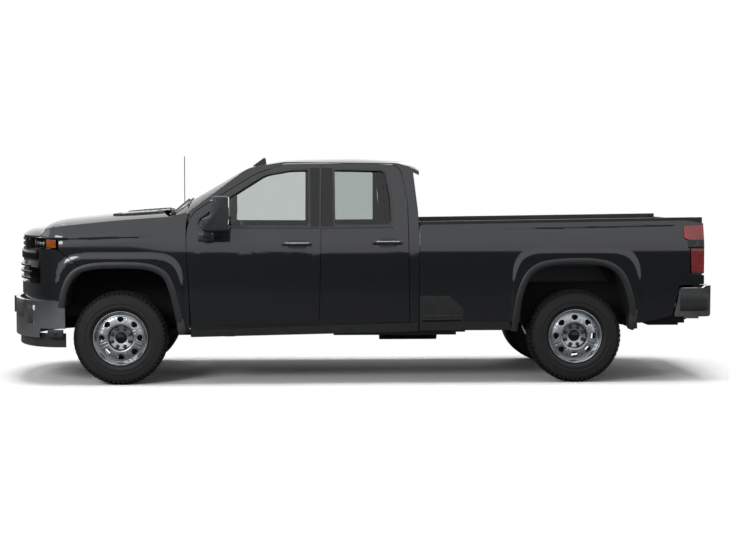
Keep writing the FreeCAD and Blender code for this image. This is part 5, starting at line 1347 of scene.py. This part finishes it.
# %% Hood vents
def dropped(node, x, y, lift):
    """The place on top of a node under a point, found with a ray from above."""
    target = frame["nodes"][node]
    inverse = target.matrix_world.inverted()
    hit, place, _, _ = target.ray_cast(inverse @ Vector((x, y, 4.0)),
                                       inverse.to_3x3() @ Vector((0.0, 0.0, -1.0)))
    place = target.matrix_world @ place if hit else Vector((x, y, 1.5))
    return place + Vector((0.0, 0.0, lift))


def top_patch(name, x_range, y_range, lift, thickness, taper, columns=30):
    """A sheet on top of the hood, narrower at its front end by the taper."""
    middle, half = sum(y_range) / 2, (y_range[1] - y_range[0]) / 2

    def place_at(u, v):
        width = half * (1 - taper * (1 - min(u * 2.2, 1)) ** 2)
        return dropped("hood", between(*x_range, u), middle + (2 * v - 1) * width, lift)

    piece = plate(name, columns, 6, place_at)
    return thickened(piece, piece.data.polygons[0].normal.z < 0, thickness, EDGE_SHARE)


both_sides(top_patch("hood_vent", (-2.262, -1.80), (-0.765, -0.615), 0.014, 0.018, 0.7), satin_plastic,
           "hood_lid")
both_sides(top_patch("hood_vent_strip", (-2.18, -1.86), (-0.735, -0.700), 0.018, 0.006, 0.3), bright_metal,
           "hood_lid")
slats = [top_patch("hood_vent_slat", (-2.10 + 0.05 * index, -2.082 + 0.05 * index), (-0.690, -0.640),
                   0.017, 0.004, 0.0, 2) for index in range(5)]
both_sides(joined("hood_vent_slats", slats), gloss_black, "hood_lid")

# %% [markdown]
# Two wipers rest at the foot of the windshield. A blade bends with the glass, so it is a
# chain of short round bars whose ends are dropped on the windshield in the same way.

# %% Wipers
BLADE_X = -1.590
wipers = []
for low_y, high_y, pivot in ((-0.66, -0.04, -0.58), (0.04, 0.62, 0.06)):
    spots = [dropped("windshield", BLADE_X, low_y + (high_y - low_y) * share / 8, 0.014)
             for share in range(9)]
    for start, stop in zip(spots[:-1], spots[1:]):
        wipers.append(tube("wiper_blade", start, stop, 0.007, 10))
    middle = dropped("windshield", BLADE_X, (low_y + high_y) / 2, 0.030)
    base = Vector((-1.725, pivot, 1.545))
    wipers.append(tube("wiper_arm", base, middle, 0.009, 12))
    wipers.append(tube("wiper_pivot", base - Vector((0, 0, 0.02)), base + Vector((0, 0, 0.012)), 0.020, 16))
finish(joined("wipers", wipers), satin_plastic)

# %% [markdown]
# The seats are padded cloth on a plastic base. Each pad starts as its block drawn in by
# 12 mm, is remeshed and blown up a little as cloth under pressure, with the movement
# capped. Two sewn seams are then pressed in along its length. Headrests aren't blown up.

# %% Seats
CAB_FLOOR = 0.6950
PAD_INSET, PAD_VOXEL, PAD_CAP, PAD_FRAMES = 0.012, 0.014, 0.014, 20
SEAM_DEPTH, SEAM_WIDTH, FILL, PAD_ANGLE = 0.009, 0.010, 0.9, 60


def pad(name, outline, y_low, y_high, seam, inflate=True):
    """A cushion with an (x, height above the cab floor) section and two seams off its middle."""
    corners = [Vector((x, CAB_FLOOR + z)) for x, z in outline]
    piece = prism(name, grown(corners, -PAD_INSET), y_low + PAD_INSET, y_high - PAD_INSET)
    modify(piece, "BEVEL", width=0.035, segments=4, limit_method="ANGLE")
    modify(piece, "REMESH", mode="VOXEL", voxel_size=PAD_VOXEL)
    if inflate:
        at_rest = [vertex.co.copy() for vertex in piece.data.vertices]
        cloth = piece.modifiers.new("cloth", "CLOTH")
        cloth.settings.use_pressure = True
        cloth.settings.uniform_pressure_force = 4
        cloth.settings.effector_weights.gravity = 0
        for number in range(1, PAD_FRAMES + 1):
            bpy.context.scene.frame_set(number)
        shape = piece.evaluated_get(bpy.context.evaluated_depsgraph_get()).to_mesh()
        blown = [vertex.co.copy() for vertex in shape.vertices]
        piece.modifiers.remove(cloth)
        bpy.context.scene.frame_set(1)
        for vertex, start, end in zip(piece.data.vertices, at_rest, blown):
            move = end - start
            vertex.co = start + move * min(PAD_CAP / max(move.length, 1e-6), 1)
    # normals are copied first, because each move of a vertex makes them be worked out again
    middle = (y_low + y_high) / 2
    normals = [vertex.normal.copy() for vertex in piece.data.vertices]
    for vertex, normal in zip(piece.data.vertices, normals):
        off = (abs(vertex.co.y - middle) - seam) / SEAM_WIDTH
        vertex.co -= normal * SEAM_DEPTH * math.exp(-off * off)
    return piece


# %% [markdown]
# A front seat has a cushion, a leaning back and a headrest, and the rear bench has a wide
# cushion and back with two headrests. They keep to the room that the CAD seats take up,
# so that the doors and the wheel still clear them.

# %% Seat pads
front_pads = []
for name, outline, y_low, y_high, seam, inflate in (
        ("front_cushion", [(-1.010, 0.185), (-0.480, 0.185), (-0.440, 0.300), (-1.020, 0.340)],
         -0.660, -0.130, 0.165, True),
        ("front_backrest", [(-0.560, 0.290), (-0.430, 0.240), (-0.290, 0.860), (-0.410, 0.880)],
         -0.650, -0.140, 0.155, True),
        ("front_headrest", [(-0.412, 0.870), (-0.320, 0.870), (-0.300, 1.000), (-0.400, 1.000)],
         -0.525, -0.265, 0.090, False),
        ("rear_headrest", [(0.340, 0.805), (0.420, 0.805), (0.418, 0.960), (0.350, 0.960)],
         -0.550, -0.310, 0.080, False)):
    front_pads += both_sides(pad(name, outline, y_low, y_high, seam, inflate), seat_cloth, angle=PAD_ANGLE)
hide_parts("seats_front")
bench_pads = [pad(name, outline, -half, half, seam) for name, outline, half, seam in (
    ("rear_cushion", [(-0.160, 0.130), (0.330, 0.130), (0.330, 0.260), (-0.180, 0.310)], 0.660, 0.230),
    ("rear_backrest", [(0.240, 0.240), (0.440, 0.240), (0.430, 0.800), (0.330, 0.800)], 0.650, 0.220))]
for piece in bench_pads:
    finish(piece, seat_cloth, angle=PAD_ANGLE)
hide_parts("seat_rear")

# %% [markdown]
# Under each pad is a hard base, and a headrest stands on two steel posts. They are plain
# boxes and bars, because they only show past the pads with a door open.

# %% Seat bases
bases = [rounded_box("seat_base", (-0.960, -0.575, CAB_FLOOR), (-0.470, -0.215, CAB_FLOOR + 0.190), 0.02)]
for y in (-0.45, -0.34):
    bases.append(tube("headrest_post", (-0.352, y, CAB_FLOOR + 0.83), (-0.356, y, CAB_FLOOR + 0.90), 0.006,
                      12))
both_sides(joined("front_seat_base", bases), interior_plastic)
bench = rounded_box("rear_bench_base", (-0.140, -0.640, CAB_FLOOR + 0.001), (0.320, 0.640, CAB_FLOOR + 0.135),
                    0.02)
finish(bench, interior_plastic)

# %% [markdown]
# The dashboard gets a hood over the instruments, a centre stack, a glovebox, two screens
# and air vents. Boxes with rounded edges, laid over the solid dashboard, are enough for
# what shows through the glass.

# %% Dashboard trim
dash_trim = [rounded_box(name, low, high, radius) for name, low, high, radius in (
    ("cluster_hood", (-1.300, -0.560, 1.350), (-1.195, -0.230, 1.420), 0.015),
    ("centre_stack", (-1.215, -0.140, 1.080), (-1.180, 0.140, 1.330), 0.012),
    ("glovebox", (-1.205, 0.330, 1.080), (-1.186, 0.740, 1.250), 0.010))]
finish(joined("dash_trim", dash_trim), interior_plastic)
screens = [rounded_box("centre_screen", (-1.183, -0.125, 1.205), (-1.174, 0.125, 1.320), 0.004),
           rounded_box("cluster", (-1.200, -0.520, 1.300), (-1.188, -0.270, 1.362), 0.004)]
screens += [rounded_box("air_vent", (-1.210, y - 0.045, 1.270), (-1.192, y + 0.045, 1.320), 0.005)
            for y in (-0.72, -0.19, 0.19, 0.72)]
finish(joined("dash_screens", screens), gloss_black)

# %% [markdown]
# The bed has a step at its front lower corner, with a gloss panel and a grained pad to
# stand on, and the tailgate has its pull at the top.

# %% Step pads and tailgate pull
step_parts = [patch(name, corners, *grid) for name, corners, grid in (
    ("step_panel", [(0.560, 0.628), (0.866, 0.628), (0.786, 0.776), (0.560, 0.776)], (10, 6, 0.006, 0.006)),
    ("step_edge", [(0.545, 0.560), (0.905, 0.566), (0.905, 0.590), (0.545, 0.588)], (12, 3, 0.010, 0.010)))]
both_sides(joined("step_panels", step_parts), gloss_black)
step_pad = patch("step_pad", [(0.570, 0.604), (0.898, 0.606), (0.890, 0.622), (0.570, 0.622)],
                 12, 3, 0.009, 0.006)
both_sides(step_pad, satin_plastic)
pull = rounded_box("tailgate_pull", (3.100, -0.098, 1.352), (3.122, 0.098, 1.380), 0.006)
finish(pull, satin_plastic, "tailgate_lid")
